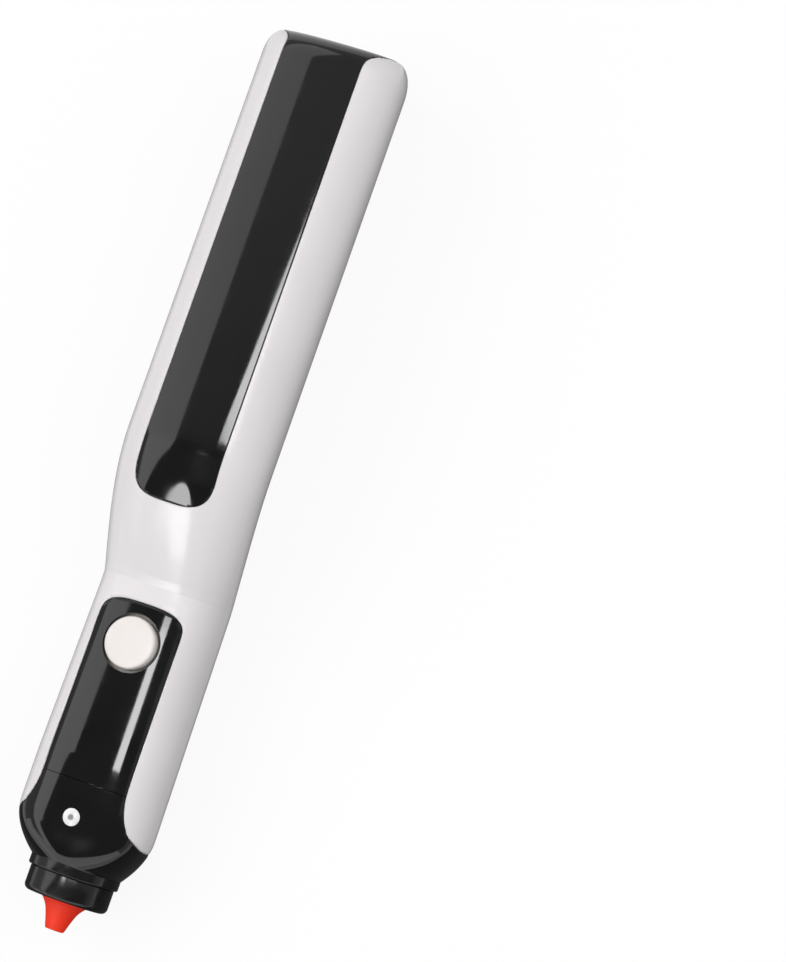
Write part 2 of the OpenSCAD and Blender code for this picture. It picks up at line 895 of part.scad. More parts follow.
// Silicone stick sleeve that leads the stick into the melt chamber
module stick_sleeve() {
  in_frame()
    color("Tomato")
      difference() {
        along_x(sleeve_u, 0, axis_h, chamber_u - sleeve_u - 0.2, sleeve_r);
        along_x(sleeve_u - 1, 0, axis_h, chamber_u - sleeve_u + 2, sleeve_bore_r);
        along_x(sleeve_u - eps, 0, axis_h, 1.6, chan_r + 1, sleeve_bore_r);
        along_x(chamber_u - 6.2, 0, axis_h, 7, spigot_r + 0.05);
      }
}

// Guide tube from the inlet bush to the feed rollers
module guide_tube() {
  in_frame()
    color("LightGray")
      difference() {
        along_x(bush_l - socket_l + 0.1, 0, axis_h, tube_end_u - bush_l + socket_l - 0.1, tube_r);
        along_x(0, 0, axis_h, overall_l, chan_r);
      }
}

// Inlet bush at the rear end, where glue sticks go in
module inlet_bush() {
  lead_l = 0.8;
  in_frame()
    color("DimGray")
      difference() {
        union() {
          along_x(0, 0, axis_h, bush_l, bush_r);
          along_x(wall, 0, axis_h, bush_flange_t, bush_flange_r);
        }
        along_x(-1, 0, axis_h, bush_l + 2, chan_r);
        along_x(-eps, 0, axis_h, lead_l, chan_r + 0.8, chan_r);
        along_x(bush_l - socket_l, 0, axis_h, socket_l + 1, tube_r + 0.05);
      }
}

// Plastic cradle for the battery cell, with a shelf for the charge board
module cell_cradle() {
  bay_u = shelf_u + cradle_wall;
  bay_l = cradle_end_u - cradle_wall - bay_u;
  width = 2 * cradle_half;
  in_frame()
    color("SlateGray")
      difference() {
        union() {
          block(cradle_u, shelf_u - cradle_u + 1, -7.5, 15, rib_top, charge_board_z - rib_top);
          block(shelf_u, cradle_end_u - shelf_u, -cradle_half, width, rib_top, rail_top - rib_top);
          for (u = [shelf_u, cradle_end_u - cradle_wall])
            block(u, cradle_wall, -cradle_half, width, rib_top, cradle_top - rib_top);
        }
        along_x(bay_u, 0, cell_z, bay_l, cell_r + cell_gap);
        block(bay_u, bay_l, -3.4, 6.8, 0, rail_top + 1);
        along_x(-1, 0, axis_h, overall_l, tube_r + 0.15);
        along_x(-1, 0, axis_h, cradle_u + bush_l + 1, bush_r + 0.3);
        for (u = cradle_screw_us)
          for (side = [-1, 1])
            upright(u, side * cradle_screw_y, 0, pilot_top, screw_r + screw_gap);
      }
}

// Round lithium cell
module battery_cell() {
  groove_u = cell_u + cell_l - 3;
  in_frame()
    color("RoyalBlue") {
      difference() {
        along_x(cell_u, 0, cell_z, cell_l, cell_r);
        difference() {
          along_x(groove_u, 0, cell_z, 0.8, cell_r + 1);
          along_x(groove_u - 1, 0, cell_z, 3, cell_r - 0.4);
        }
      }
      along_x(cell_u + cell_l - eps, 0, cell_z, nub_l + eps, 3);
    }
}

// Nickel contact plates at both ends of the cell
module cell_contacts() {
  in_frame()
    color("Silver") {
      block(cell_u - contact_t, contact_t, -contact_half, 2 * contact_half, contact_z, contact_h);
      block(cell_end_u, contact_t, -contact_half, 2 * contact_half, contact_z, contact_h);
    }
}

// Foam pad between the cell and the rear cover
module cell_pad() {
  low = cell_z + 0.6 * cell_r;
  top = skin_top(pad_u, pad_half, wall) - 0.1;
  in_frame()
    color("DarkSlateGray")
      difference() {
        block(pad_u, pad_l, -pad_half, 2 * pad_half, low, top - low);
        along_x(cell_u, 0, cell_z, cell_l, cell_r + 0.05);
      }
}

// Charge board at the rear end
module charge_board() {
  in_frame()
    color("SeaGreen") {
      block(charge_board_u, shelf_u - charge_board_u - 0.3, -7, 14, charge_board_z, board_t);
      block(port_u + port_l + 0.5, 2.4, 1, 3, charge_board_z + board_t - eps, 1);
      block(port_u + port_l + 0.5, 2, -4.5, 2.6, charge_board_z + board_t - eps, 1.2);
    }
}

// Charge socket: metal shell with a contact tongue
module charge_port() {
  in_frame()
    color("Silver") {
      difference() {
        port_slot(port_u, port_l, port_w, port_h);
        port_slot(port_u - 1, port_l, port_w - 2 * port_wall, port_h - 2 * port_wall);
      }
      block(port_u + 1, port_l - 1.5, -3.2, 6.4, port_z - 0.35, 0.7);
    }
}

// Feed frame: motor platform, two bearing plates beside the stick and the stop of the arm
module feed_frame() {
  column_l = 2;
  column_w = 3.2;
  column_us = [block_end_u - 0.5, frame_end_u - column_l];
  column_h = upper_plate_z + upper_plate_t - lower_plate_z;
  plate_l = frame_end_u - block_end_u + eps;
  in_frame()
    color("SlateGray")
      difference() {
        union() {
          block(frame_u, block_end_u - frame_u, -7.5, 15, rib_top, platform_z - rib_top);
          translate([block_end_u - eps, -plate_half, upper_plate_z])
            cube([plate_l, 2 * plate_half, upper_plate_t]);
          translate([block_end_u - eps, -plate_half, lower_plate_z])
            cube([plate_l, 2 * plate_half, lower_plate_t]);
          for (u = column_us)
            for (y = [-plate_half, plate_half - column_w])
              block(u, column_l, y, column_w, lower_plate_z, column_h);
          arm_frame()
            translate([3, -arm_side - stop_gap - stop_r, -plate_gap - eps])
              cylinder(h = plate_gap + leaf_t, r = stop_r);
        }
        along_x(0, 0, axis_h, block_end_u + eps, tube_r + 0.15);
        block(block_end_u - eps, overall_l, -slot_half, 2 * slot_half,
          lower_plate_z - 1, upper_plate_z - lower_plate_z);
        upright(feed_u, feed_y, 0, rear_h, shaft_r + run_gap);
        upright(pivot_u, -pivot_y, 0, rear_h, arm_pin_r + run_gap);
      }
}

// Small motor with flattened sides
module motor_can() {
  in_frame()
    color("Silver") {
      intersection() {
        along_x(motor_u, pinion_y, motor_z, motor_l - 0.2, motor_w / 2);
        block(motor_u - 1, motor_l + 2, pinion_y - motor_w, 2 * motor_w, platform_z, motor_h);
      }
      along_x(motor_u - 0.3, pinion_y, motor_z, 1, 2.4);
    }
}

// Right-angle gear head with its output at the underside
module gear_head() {
  in_frame()
    color("Goldenrod")
      difference() {
        block(head_u, head_l, pinion_y - motor_w / 2, motor_w, platform_z + 0.05, motor_h - 0.1);
        upright(pinion_u, pinion_y, 0, platform_z + 4, shaft_r + run_gap);
      }
}

// Involute teeth: half angle of a tooth at radius r, then the outline of a gear
function involute(a) = tan(a) * 180 / PI - a;
function tooth_half(r, pitch_r, teeth) =
  let (
    base_r = pitch_r * cos(20),
    at_r = max(r, base_r)
  )
  90 / teeth - mesh_play / pitch_r * 90 / PI + involute(20) - involute(acos(base_r / at_r));
function gear_outline(teeth) =
  let (
    pitch_r = gear_m * teeth / 2,
    root_r = pitch_r - 1.24 * gear_m,
    top_r = pitch_r + 0.84 * gear_m,
    radii = [for (k = [0:4]) mix(root_r, top_r, k / 4)],
    flank_a = [for (r = radii) tooth_half(r, pitch_r, teeth)]
  )
  [
    for (i = [0:teeth - 1])
      let (a = i * 360 / teeth)
      each concat(
        [for (k = [0:4]) radii[k] * [cos(a - flank_a[k]), sin(a - flank_a[k])]],
        [for (k = [4:-1:0]) radii[k] * [cos(a + flank_a[k]), sin(a + flank_a[k])]]
      )
  ];

// Pinion on the gear head's output shaft
module drive_pinion() {
  in_frame()
    color("Ivory")
      translate([pinion_u, pinion_y, gear_z])
        rotate([0, 0, mesh_a + 180 + 180 / pinion_teeth]) {
          linear_extrude(height = gear_t)
            polygon(gear_outline(pinion_teeth));
          cylinder(h = platform_z + 3.4 - gear_z, r = shaft_r);
        }
}

// Feed gear on the feed shaft
module feed_gear() {
  in_frame()
    color("Ivory")
      translate([feed_u, feed_y, gear_z])
        rotate([0, 0, mesh_a])
          difference() {
            linear_extrude(height = gear_t)
              polygon(gear_outline(gear_teeth));
            translate([0, 0, -1])
              cylinder(h = gear_t + 2, r = shaft_r + fix_gap);
          }
}

// Steel feed shaft
module feed_shaft() {
  in_frame()
    color("LightSteelBlue")
      upright(feed_u, feed_y, lower_plate_z, gear_z + gear_t - lower_plate_z, shaft_r);
}

// Knurled feed roller
module feed_roller() {
  teeth = 20;
  r = roller_d / 2;
  in_frame()
    color("LightSteelBlue")
      translate([feed_u, feed_y, roller_z])
        difference() {
          linear_extrude(height = roller_h)
            polygon([
              for (i = [0:2 * teeth - 1])
                let (a = i * 180 / teeth)
                (i % 2 == 0 ? r : r - 0.35) * [cos(a), sin(a)]
            ]);
          translate([0, 0, -1])
            cylinder(h = roller_h + 2, r = shaft_r + fix_gap);
        }
}

// Frame at the pinch arm's pivot, with X along the arm to the idler
module arm_frame() {
  translate([pivot_u, -pivot_y, roller_z])
    rotate([0, 0, 180 - arm_angle])
      children();
}

// Pinch arm: two leaves and a back web, pressed to the stick by a spring
module pinch_arm() {
  in_frame()
    color("SlateGray")
      arm_frame()
        difference() {
          union() {
            for (z = [0, roller_h - leaf_t])
              translate([0, 0, z]) {
                cylinder(h = leaf_t, r = arm_r);
                translate([arm_len, 0, 0])
                  cylinder(h = leaf_t, r = arm_r);
                translate([0, -arm_side, 0])
                  cube([arm_len, arm_r + arm_side, leaf_t]);
              }
            cylinder(h = roller_h, r = arm_r);
            translate([0, arm_r - 0.8, 0])
              cube([arm_len - 3.2, 0.8, roller_h]);
          }
          translate([0, 0, -1])
            cylinder(h = roller_h + 2, r = arm_pin_r + run_gap);
          translate([arm_len, 0, -1])
            cylinder(h = roller_h + 2, r = idler_pin_r + fix_gap);
        }
}

// Pivot pin of the pinch arm
module arm_pin() {
  in_frame()
    color("LightSteelBlue")
      upright(pivot_u, -pivot_y, lower_plate_z,
        upper_plate_z + upper_plate_t - lower_plate_z, arm_pin_r);
}

// Pin of the idler roller
module idler_pin() {
  in_frame()
    color("LightSteelBlue")
      arm_frame()
        translate([arm_len, 0, 0])
          cylinder(h = roller_h, r = idler_pin_r);
}

// Idler roller that presses the stick on the feed roller
module idler_roller() {
  in_frame()
    color("Gainsboro")
      arm_frame()
        translate([arm_len, 0, leaf_t + 0.2])
          difference() {
            cylinder(h = roller_h - 2 * leaf_t - 0.4, r = idler_r);
            translate([0, 0, -1])
              cylinder(h = roller_h, r = idler_pin_r + run_gap);
          }
}

// Leaf spring from the frame's rear column, bowed past the idler to the pinch arm's back
module pinch_spring() {
  root_u = block_end_u - 0.3;
  root_y = -plate_half - 0.05;
  bow_y = root_y - 1;
  end_y = -mix(idler_y, pivot_y, 0.45) - arm_r - 0.1;
  line = [
    [root_u, root_y],
    [root_u + 1.8, root_y],
    [feed_u - 1.5, bow_y],
    [feed_u + 2.6, bow_y],
    [feed_u + 4.8, end_y]
  ];
  in_frame()
    color("LightSteelBlue")
      translate([0, 0, roller_z + 1.4])
        linear_extrude(height = roller_h - 2.8)
          polygon(concat(line, [for (k = [4:-1:0]) line[k] - [0, spring_t]]));
}

// Control board under the front panel
module control_board() {
  in_frame()
    color("SeaGreen")
      difference() {
        union() {
          block(control_u, control_l, -control_half, 2 * control_half, control_z, board_t);
          block(button_u + 9, 5, -5, 5, control_top - eps, 1);
          block(button_u + 9.5, 4, 2, 3, control_top - eps, 0.8);
        }
        for (u = post_us)
          for (side = [-1, 1])
            upright(u, side * post_y, control_z - 1, board_t + 2, board_screw_r + 0.05);
      }
}

// Body of the push switch
module switch_body() {
  in_frame()
    color("DarkSlateGray")
      difference() {
        block(button_u - switch_w / 2, switch_w, -switch_w / 2, switch_w, control_top, switch_h);
        upright(button_u, 0, plunger_well_z, switch_h, plunger_r + 0.1);
      }
}

// Plunger of the push switch
module switch_plunger() {
  in_frame()
    color("Ivory")
      upright(button_u, 0, plunger_low, plunger_top - plunger_low, plunger_r);
}

// Push button: hollow cap with a retaining flange and a stem
module button_cap() {
  r = button_d / 2;
  edge = 0.6;
  in_frame()
    color("Linen")
      translate([button_u, 0, 0])
        rotate_extrude()
          difference() {
            union() {
              translate([0, cap_flange_z])
                square([cap_flange_r, cap_flange_t]);
              translate([0, cap_flange_z])
                square([r, cap_top - edge - cap_flange_z]);
              translate([0, cap_top - edge - eps])
                square([r - edge, edge + eps]);
              translate([r - edge, cap_top - edge])
                circle(r = edge);
            }
            translate([plunger_r + 0.4, 0])
              square([cap_inner_r - plunger_r - 0.4, cap_top - 1.4]);
            translate([-1, 0])
              square([1 + plunger_r + 0.5, plunger_top]);
          }
}

// Housing screws driven from below, all alike
module housing_screws() {
  in_frame()
    color("Silver")
      for (side = [-1, 1]) {
        for (u = cradle_screw_us)
          housing_screw(u, side * cradle_screw_y);
        for (s = front_screws)
          housing_screw(s[0], side * s[1]);
      }
}

module housing_screw(u, y) {
  difference() {
    union() {
      upright(u, y, screw_seat_z - screw_head_h, screw_head_h, screw_head_r);
      upright(u, y, screw_seat_z - eps, screw_l, screw_r);
    }
    block(u - 1.4, 2.8, y - 0.3, 0.6, 0, screw_seat_z - screw_head_h + 0.6);
    block(u - 0.3, 0.6, y - 1.4, 2.8, 0, screw_seat_z - screw_head_h + 0.6);
  }
}

// Small screws that hold the control board on the panel's posts
module board_screws() {
  in_frame()
    color("Silver")
      for (u = post_us)
        for (side = [-1, 1]) {
          upright(u, side * post_y, control_z - 0.8, 0.8, 1.3);
          upright(u, side * post_y, control_z - eps, board_t + 2.4, board_screw_r);
        }
}

upper_housing();
lower_housing();
rear_cover();
front_panel();
nose_cone();
indicator_lens();
indicator_board();
heat_ring();
collar_nut();
nozzle_sleeve();
nozzle_tip();
melt_chamber();
heater_plates();
heater_clip();
holder_rings();
thermistor();
stick_sleeve();
guide_tube();
inlet_bush();
cell_cradle();
battery_cell();
cell_contacts();
cell_pad();
charge_board();
charge_port();
feed_frame();
motor_can();
gear_head();
drive_pinion();
feed_gear();
feed_shaft();
feed_roller();
pinch_arm();
arm_pin();
idler_pin();
idler_roller();
pinch_spring();
control_board();
switch_body();
switch_plunger();
button_cap();
housing_screws();
board_screws();
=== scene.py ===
# %% [markdown]
# # Dressing a cordless glue pen
# The solids of the pen are loaded first, as a frame that never moves. Everything
# that follows is fitted to that frame: finer shells over the moulded covers, turned
# pieces for the round parts, finishes, a camera and a small studio.

# %% Load the frame
import json
import math

import bmesh
import bpy
import numpy as np
from mathutils import Matrix, Vector

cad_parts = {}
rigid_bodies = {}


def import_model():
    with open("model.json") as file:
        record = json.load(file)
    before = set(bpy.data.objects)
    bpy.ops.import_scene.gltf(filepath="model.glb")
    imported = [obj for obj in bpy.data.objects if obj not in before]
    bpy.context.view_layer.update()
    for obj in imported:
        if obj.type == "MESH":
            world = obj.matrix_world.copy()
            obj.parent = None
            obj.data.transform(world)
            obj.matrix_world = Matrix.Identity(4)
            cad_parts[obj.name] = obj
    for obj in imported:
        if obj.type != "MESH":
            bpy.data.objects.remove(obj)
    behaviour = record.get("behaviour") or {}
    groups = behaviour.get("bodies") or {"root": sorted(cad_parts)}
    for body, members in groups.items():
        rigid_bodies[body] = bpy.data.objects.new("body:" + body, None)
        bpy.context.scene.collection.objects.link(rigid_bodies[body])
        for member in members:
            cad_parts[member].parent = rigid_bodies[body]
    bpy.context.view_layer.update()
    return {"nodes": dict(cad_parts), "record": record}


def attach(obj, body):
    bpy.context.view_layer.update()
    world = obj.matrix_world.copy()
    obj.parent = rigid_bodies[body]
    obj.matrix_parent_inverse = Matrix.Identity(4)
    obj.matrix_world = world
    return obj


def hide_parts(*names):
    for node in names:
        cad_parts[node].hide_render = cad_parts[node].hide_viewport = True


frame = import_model()
print("solids in the frame:", len(frame["nodes"]))

# %% [markdown]
# ## Camera
# The pen is seen from steeply above, a little from its right side, with the nozzle
# pointing down the picture. A Track To constraint could aim the camera, but its three
# axes are known here, so they are written straight into its matrix. The picture is
# 786 by 962, so the sensor's 36 mm run along the tall side, and the focal length is
# turned from pixels of that side into millimetres.

# %% Aim the camera
SENSOR_MM, PICTURE_TALL, FOCAL_PIXELS = 36, 962, 3500
camera_lens = bpy.data.cameras.new("picture_camera")
camera_lens.sensor_width = SENSOR_MM
camera_lens.lens = FOCAL_PIXELS / PICTURE_TALL * SENSOR_MM
camera_lens.clip_end = 30
camera = bpy.data.objects.new("picture_camera", camera_lens)
bpy.context.scene.collection.objects.link(camera)
to_right = Vector((-0.32788, 0.91344, -0.24094))
to_top = Vector((-0.93939, -0.28830, 0.18534))
axes = Matrix((to_right, to_top, to_right.cross(to_top))).transposed()
camera_place = (0.05596, 0.23342, 0.66708)
camera.matrix_world = Matrix.Translation(camera_place) @ axes.to_4x4()
bpy.context.scene.camera = camera
bpy.context.scene.view_settings.view_transform = "Standard"
print("camera lens, mm:", round(camera_lens.lens, 2))

# %% [markdown]
# ## The pen's measures
# The shells have to meet the solids, so they repeat the pen's own measures in
# millimetres. They could be read off the frame's meshes, but named measures are easier
# to follow. u runs along the pen from its rear end, y across it and z up from the table.

# %% Measures in millimetres
axis_h, wall, seam = 10, 1.8, 0.12
rear_l, rear_w, rear_h = 85.8, 29.6, 34.2
rear_round, rear_lean, lean_l, end_square = 6, 2, 20, 0.42
slope_l, grip_l, nose_l = 28.5, 40.5, 16.5
grip_w, grip_front_w, grip_h, nose_d = 25.7, 27.3, 23.6, 18.4
cover_w, cover_l, panel_w, panel_front_w = 17, 98.7, 18, 18.3
ring_l, collar_l, tip_l = 2, 5, 6
foot = rear_l + slope_l
panel_end = foot + grip_l
nose_end = panel_end + nose_l
ring_end = nose_end + ring_l
collar_end = ring_end + collar_l
pen_l = collar_end + tip_l
panel_start, button_u = foot + 3.9, foot + 12.1
lens_u, tongue_u = nose_end - 9.25, nose_end - 7
flare_u, drop_u = tongue_u - 10.8, panel_end - 4.8
part_z = axis_h
print("pen length, mm:", round(pen_l, 1))

# %% [markdown]
# ## One skin for all five covers
# On the real pen the white halves, the two black covers and the nose meet flush, so
# they share one skin. It could be modelled by hand with subdivision, but a formula
# keeps the seams flush: each cross-section is an oval whose width, top line, widest
# height and squareness change along the pen. A power of 2 is a true oval, and a higher
# one is squarer. The shoulder is the way from the top line down to the widest height,
# and the keel is where the oval would end below, if the table didn't cut it flat.

# %% The skin's cross-sections
SLOPE_SOFT, WIDEN_L = 1.5, grip_l + 5.7
TAPER_L, TAPER_POWER = 9.5, 1.9
BROW_L, BROW_POWER, DROP_POWER = 7, 2.2, 1.2
REAR_SHOULDER, GRIP_SHOULDER = 10.1, 11.9
REAR_KEEL, GRIP_KEEL = -1, -0.8
REAR_TOP_POWER, GRIP_TOP_POWER = 2.3, 3.2
REAR_LOW_POWER, GRIP_LOW_POWER, ROUND = 1.66, 2, 2


def mix(a, b, share):
    return a + (b - a) * share


def ramp(t):
    c = np.clip(t, 0, 1)
    return c * c * (1.5 - 0.5 * c)


def slope_share(u):
    t, soft = (u - rear_l) / slope_l, SLOPE_SOFT / slope_l
    return (ramp(t - soft) + 4 * ramp(t) + ramp(t + soft)) / 6


def nose_share(u, start, power):
    return np.clip((u - start) / (nose_end - start), 0, 1) ** power


def section(u):
    """Half width, top, widest height, keel and the two roundness powers at u."""
    slope = slope_share(u)
    taper = nose_share(u, nose_end - TAPER_L, TAPER_POWER)
    drop = (nose_share(u, drop_u, DROP_POWER) + nose_share(u, nose_end - BROW_L, BROW_POWER)) / 2
    grip_half = mix(grip_w, grip_front_w, np.clip((u - foot) / WIDEN_L, 0, 1)) / 2
    return (
        mix(mix(rear_w / 2, grip_half, slope), nose_d / 2, taper),
        mix(mix(rear_h, grip_h, slope), axis_h + nose_d / 2, drop),
        mix(mix(rear_h - REAR_SHOULDER, grip_h - GRIP_SHOULDER, slope), axis_h, taper),
        mix(mix(REAR_KEEL, GRIP_KEEL, slope), axis_h - nose_d / 2, taper),
        mix(mix(REAR_TOP_POWER, GRIP_TOP_POWER, slope), ROUND, taper),
        mix(mix(REAR_LOW_POWER, GRIP_LOW_POWER, slope), ROUND, taper),
    )


print("top of the slope at its middle, mm:", round(float(section(rear_l + slope_l / 2)[1]), 2))

# %% [markdown]
# ## From sections to rings of points
# The real rear end is rounded off, and its face leans forward a little at the top. A
# bevel could do the rounding, but as a part of the formula it reaches every seam. So the
# sections shrink by an inset near the end, and each place along the pen gives one ring.

# %% Rings of points
def end_inset(u, depth):
    r = rear_round - depth
    rolled = r - np.sqrt(np.maximum(0, r * r - (rear_round - u) ** 2))
    return np.where(u < rear_round, rolled, 0)


def lean(u, z):
    tilt = (z - rear_round) / (rear_h - rear_round)
    return rear_lean * np.maximum(0, 1 - u / lean_l) * tilt


def skin_rings(stations, around, depth):
    """Points of the skin that lies depth inside the outer one."""
    u = np.asarray(stations, float)[:, None]
    a = np.linspace(0, 2 * np.pi, around, endpoint=False)[None, :]
    half, top, mid, keel, top_n, low_n = section(u)
    rolled = end_inset(u, depth)
    inset = depth + rolled
    c, s = np.cos(a), np.sin(a)
    n = np.where(c >= 0, top_n, low_n)
    y = np.sign(s) * (half - depth - end_square * rolled) * np.abs(s) ** (2 / n)
    upper = mid + (top - mid - inset) * np.abs(c) ** (2 / n)
    lower = np.maximum(inset, mid - (mid - keel - inset) * np.abs(c) ** (2 / n))
    z = np.where(c >= 0, upper, lower)
    return np.stack([u + lean(u, z), y + 0 * z, z], -1)


def skin_top(u, y, depth):
    half, top, mid, _, top_n, _ = section(u)
    return mid + (top - mid - depth) * (1 - (abs(y) / (half - depth)) ** top_n) ** (1 / top_n)


print("half width of the rear body, mm:", round(float(skin_rings([50], 8, 0)[..., 1].max()), 2))

# %% [markdown]
# ## The skin's true normals
# A glossy black cover shows every facet in its reflections. A denser mesh helps, but
# the clean way is to give each corner the normal of the formula itself. The skin is
# where skin_value is zero, so its slope in x, y and z is that normal.

# %% Normals from the formula
def skin_value(points):
    x, y, z = points.T
    tilt = rear_lean * (z - rear_round) / (rear_h - rear_round)
    u = np.where(x < lean_l, (x - tilt) / (1 - tilt / lean_l), x)
    half, top, mid, keel, top_n, low_n = section(u)
    inset = end_inset(u, 0)
    n = np.where(z >= mid, top_n, low_n)
    rise = np.where(z >= mid, (z - mid) / (top - mid - inset), (mid - z) / (mid - keel - inset))
    return (np.abs(y) / (half - end_square * inset)) ** n + np.abs(rise) ** n - 1


def skin_normals(points):
    step = 0.004
    slopes = [skin_value(points + step * e) - skin_value(points - step * e) for e in np.eye(3)]
    normals = np.stack(slopes, -1)
    return normals / np.maximum(np.linalg.norm(normals, axis=1), 1e-12)[:, None]


print("normal on top of the rear body:", skin_normals(np.array([[50.0, 0.001, rear_h]]))[0].round(3))

# %% [markdown]
# ## Marked solids
# Booleans cut the covers out of the skin, as the seams of the real tool do. Each face
# carries a mark for where it came from, and the marks survive the cutting, so the
# finished cover knows its outer skin from its seam walls. Material slots could carry the
# marks too, but a face attribute leaves them free for the finishes.

# %% Skin solids with marks
SKIN, INNER, SEAM, SPLIT, FLAT = 1, 2, 3, 4, 5


def new_solid(name, points, faces, marks):
    mesh = bpy.data.meshes.new(name)
    mesh.from_pydata([tuple(p) for p in points], [], faces)
    origin = mesh.attributes.new("origin", "INT", "FACE")
    origin.data.foreach_set("value", marks)
    solid = bpy.data.objects.new(name, mesh)
    bpy.context.scene.collection.objects.link(solid)
    return solid


def skin_solid(stations, around, depth, mark):
    rings = skin_rings(stations, around, depth)
    count = len(rings)
    faces = [list(range(around)), [(count - 1) * around + i for i in reversed(range(around))]]
    for k in range(count - 1):
        for i in range(around):
            a, b = k * around + i, k * around + (i + 1) % around
            faces.append([a, a + around, b + around, b])
    return new_solid("skin", rings.reshape(-1, 3), faces, [FLAT, FLAT] + [mark] * (len(faces) - 2))


print("face marks:", dict(skin=SKIN, inner=INNER, seam=SEAM, split=SPLIT, flat=FLAT))

# %% [markdown]
# ## Plain solids
# Ribs, posts, holes and seam cutters are outlines drawn out along one axis. Extruding in
# Edit Mode would make them too, but a function can be handed its measures. It turns every
# outline the same way round first, so that all faces look outward.

# %% Prisms, bricks and rods
ROD_SIDES = 64


def prism(outline, axis, low, high, mark=FLAT):
    """An outline drawn out along an axis: (x, y) along z, (x, z) along y, (y, z) along x."""
    flat = np.asarray(outline, float)
    x, y = flat.T
    turn = np.sum(x * np.roll(y, -1) - np.roll(x, -1) * y)
    if turn * (-1 if axis == "y" else 1) < 0:
        flat = flat[::-1]
    order = {"z": (0, 1, 2), "y": (0, 2, 1), "x": (2, 0, 1)}[axis]
    count = len(flat)
    ends = [np.column_stack([flat, np.full(count, t)])[:, order] for t in (low, high)]
    faces = [list(reversed(range(count))), list(range(count, 2 * count))]
    faces += [[i, (i + 1) % count, (i + 1) % count + count, i + count] for i in range(count)]
    return new_solid("prism", np.concatenate(ends), faces, [mark] * len(faces))


def brick(u, y, z, mark=FLAT):
    return prism([(u[0], y[0]), (u[1], y[0]), (u[1], y[1]), (u[0], y[1])], "z", z[0], z[1], mark)


def rod(axis, at, low, high, radius):
    a = np.linspace(0, 2 * np.pi, ROD_SIDES, endpoint=False)
    circle = np.column_stack([at[0] + radius * np.cos(a), at[1] + radius * np.sin(a)])
    return prism(circle, axis, low, high)


print("sides of a rod:", ROD_SIDES)

# %% [markdown]
# ## Cutting
# A Boolean modifier joins, cuts or intersects two solids. It could stay in the stack, but
# a cover needs dozens of them, so each is applied at once and its tool is cleared away.
# The Manifold solver is quick and keeps the marks on the faces.

# %% Cut, copy and clear away
def cut(solid, tool, how, keep_tool=False):
    """Boolean of two solids, applied to the first one."""
    step = solid.modifiers.new(how, "BOOLEAN")
    step.object, step.operation, step.solver = tool, how, "MANIFOLD"
    graph = bpy.context.evaluated_depsgraph_get()
    made = bpy.data.meshes.new_from_object(solid.evaluated_get(graph))
    solid.modifiers.clear()
    used, solid.data = solid.data, made
    bpy.data.meshes.remove(used)
    if not keep_tool:
        clear_away(tool)
    return solid


def clear_away(solid):
    mesh = solid.data
    bpy.data.objects.remove(solid)
    bpy.data.meshes.remove(mesh)


def copy_of(solid):
    twin = bpy.data.objects.new(solid.name, solid.data.copy())
    bpy.context.scene.collection.objects.link(twin)
    return twin


print("cutting helpers ready")

# %% [markdown]
# ## The two walls of skin
# Most of the covers are cut from one long hollow wall. The nose gets a wall of its own,
# because its front end is closed. A Solidify modifier could thicken a skin, but two skins
# of the formula, one cut from the other, keep the wall even. Their stations lie close
# together where the skin bends: round the rear end, down the slope and over the nose.

# %% Hollow walls
OUTER_AROUND, INNER_AROUND = 176, 72


def stations(depth, start, end, fine):
    """Places along the pen for the rings of a skin."""
    end_turn = np.radians(np.arange(0, 91, 4 if fine else 10))
    places = np.concatenate([
        rear_round - (rear_round - depth) * np.cos(end_turn),
        np.arange(rear_round + 2, rear_l - 2, 3),
        np.arange(rear_l - 2, foot + 3, 0.4 if fine else 2),
        np.arange(foot + 3, drop_u - 0.5, 2),
        np.arange(drop_u - 0.5, nose_end, 0.4 if fine else 1.5),
    ])
    gap = 0.1 if fine else 0.4
    return [start] + [u for u in places if start + gap < u < end - gap] + [end]


long_wall = skin_solid(stations(0, 0, nose_end, True), OUTER_AROUND, 0, SKIN)
hollow = skin_solid(stations(wall, wall, nose_end + 1, False), INNER_AROUND, wall, INNER)
cut(long_wall, hollow, "DIFFERENCE")
nose_wall = skin_solid(stations(0, panel_end + seam, nose_end, True), OUTER_AROUND, 0, SKIN)
hollow = skin_solid(stations(wall, panel_end - 1, nose_end - 2, False), INNER_AROUND, wall, INNER)
cut(nose_wall, hollow, "DIFFERENCE")
print("faces of the long wall:", len(long_wall.data.polygons))

# %% [markdown]
# ## The flank's outline
# Three outlines share out the skin. The flank outline, seen from the side, ends the
# white halves in a rounded tongue at the front and a rounded tail at the rear. A Bezier
# curve could draw it, but a squarish half oval needs only its length, its two heights and
# a power. Each outline can be grown or shrunk, for the seam's gap and the rolled edge.

# %% The flank seen from the side
TONGUE_L, TONGUE_UP, TONGUE_DOWN, TONGUE_POWER = 11.5, 13.6, 11.5, 2.6
TAIL_L, TAIL_UP, TAIL_DOWN, TAIL_POWER = 7.2, rear_h - 22, 23, 2.4
TAIL_Z, TAIL_INSET = 22.4, 0.3


def half_oval(length, up, down, power):
    t = np.radians(np.arange(-90, 91, 3))
    side = np.where(t < 0, -down, up)
    along, across = np.abs(np.cos(t)) ** (2 / power), np.abs(np.sin(t)) ** (2 / power)
    return np.stack([length * along, side * across], -1)


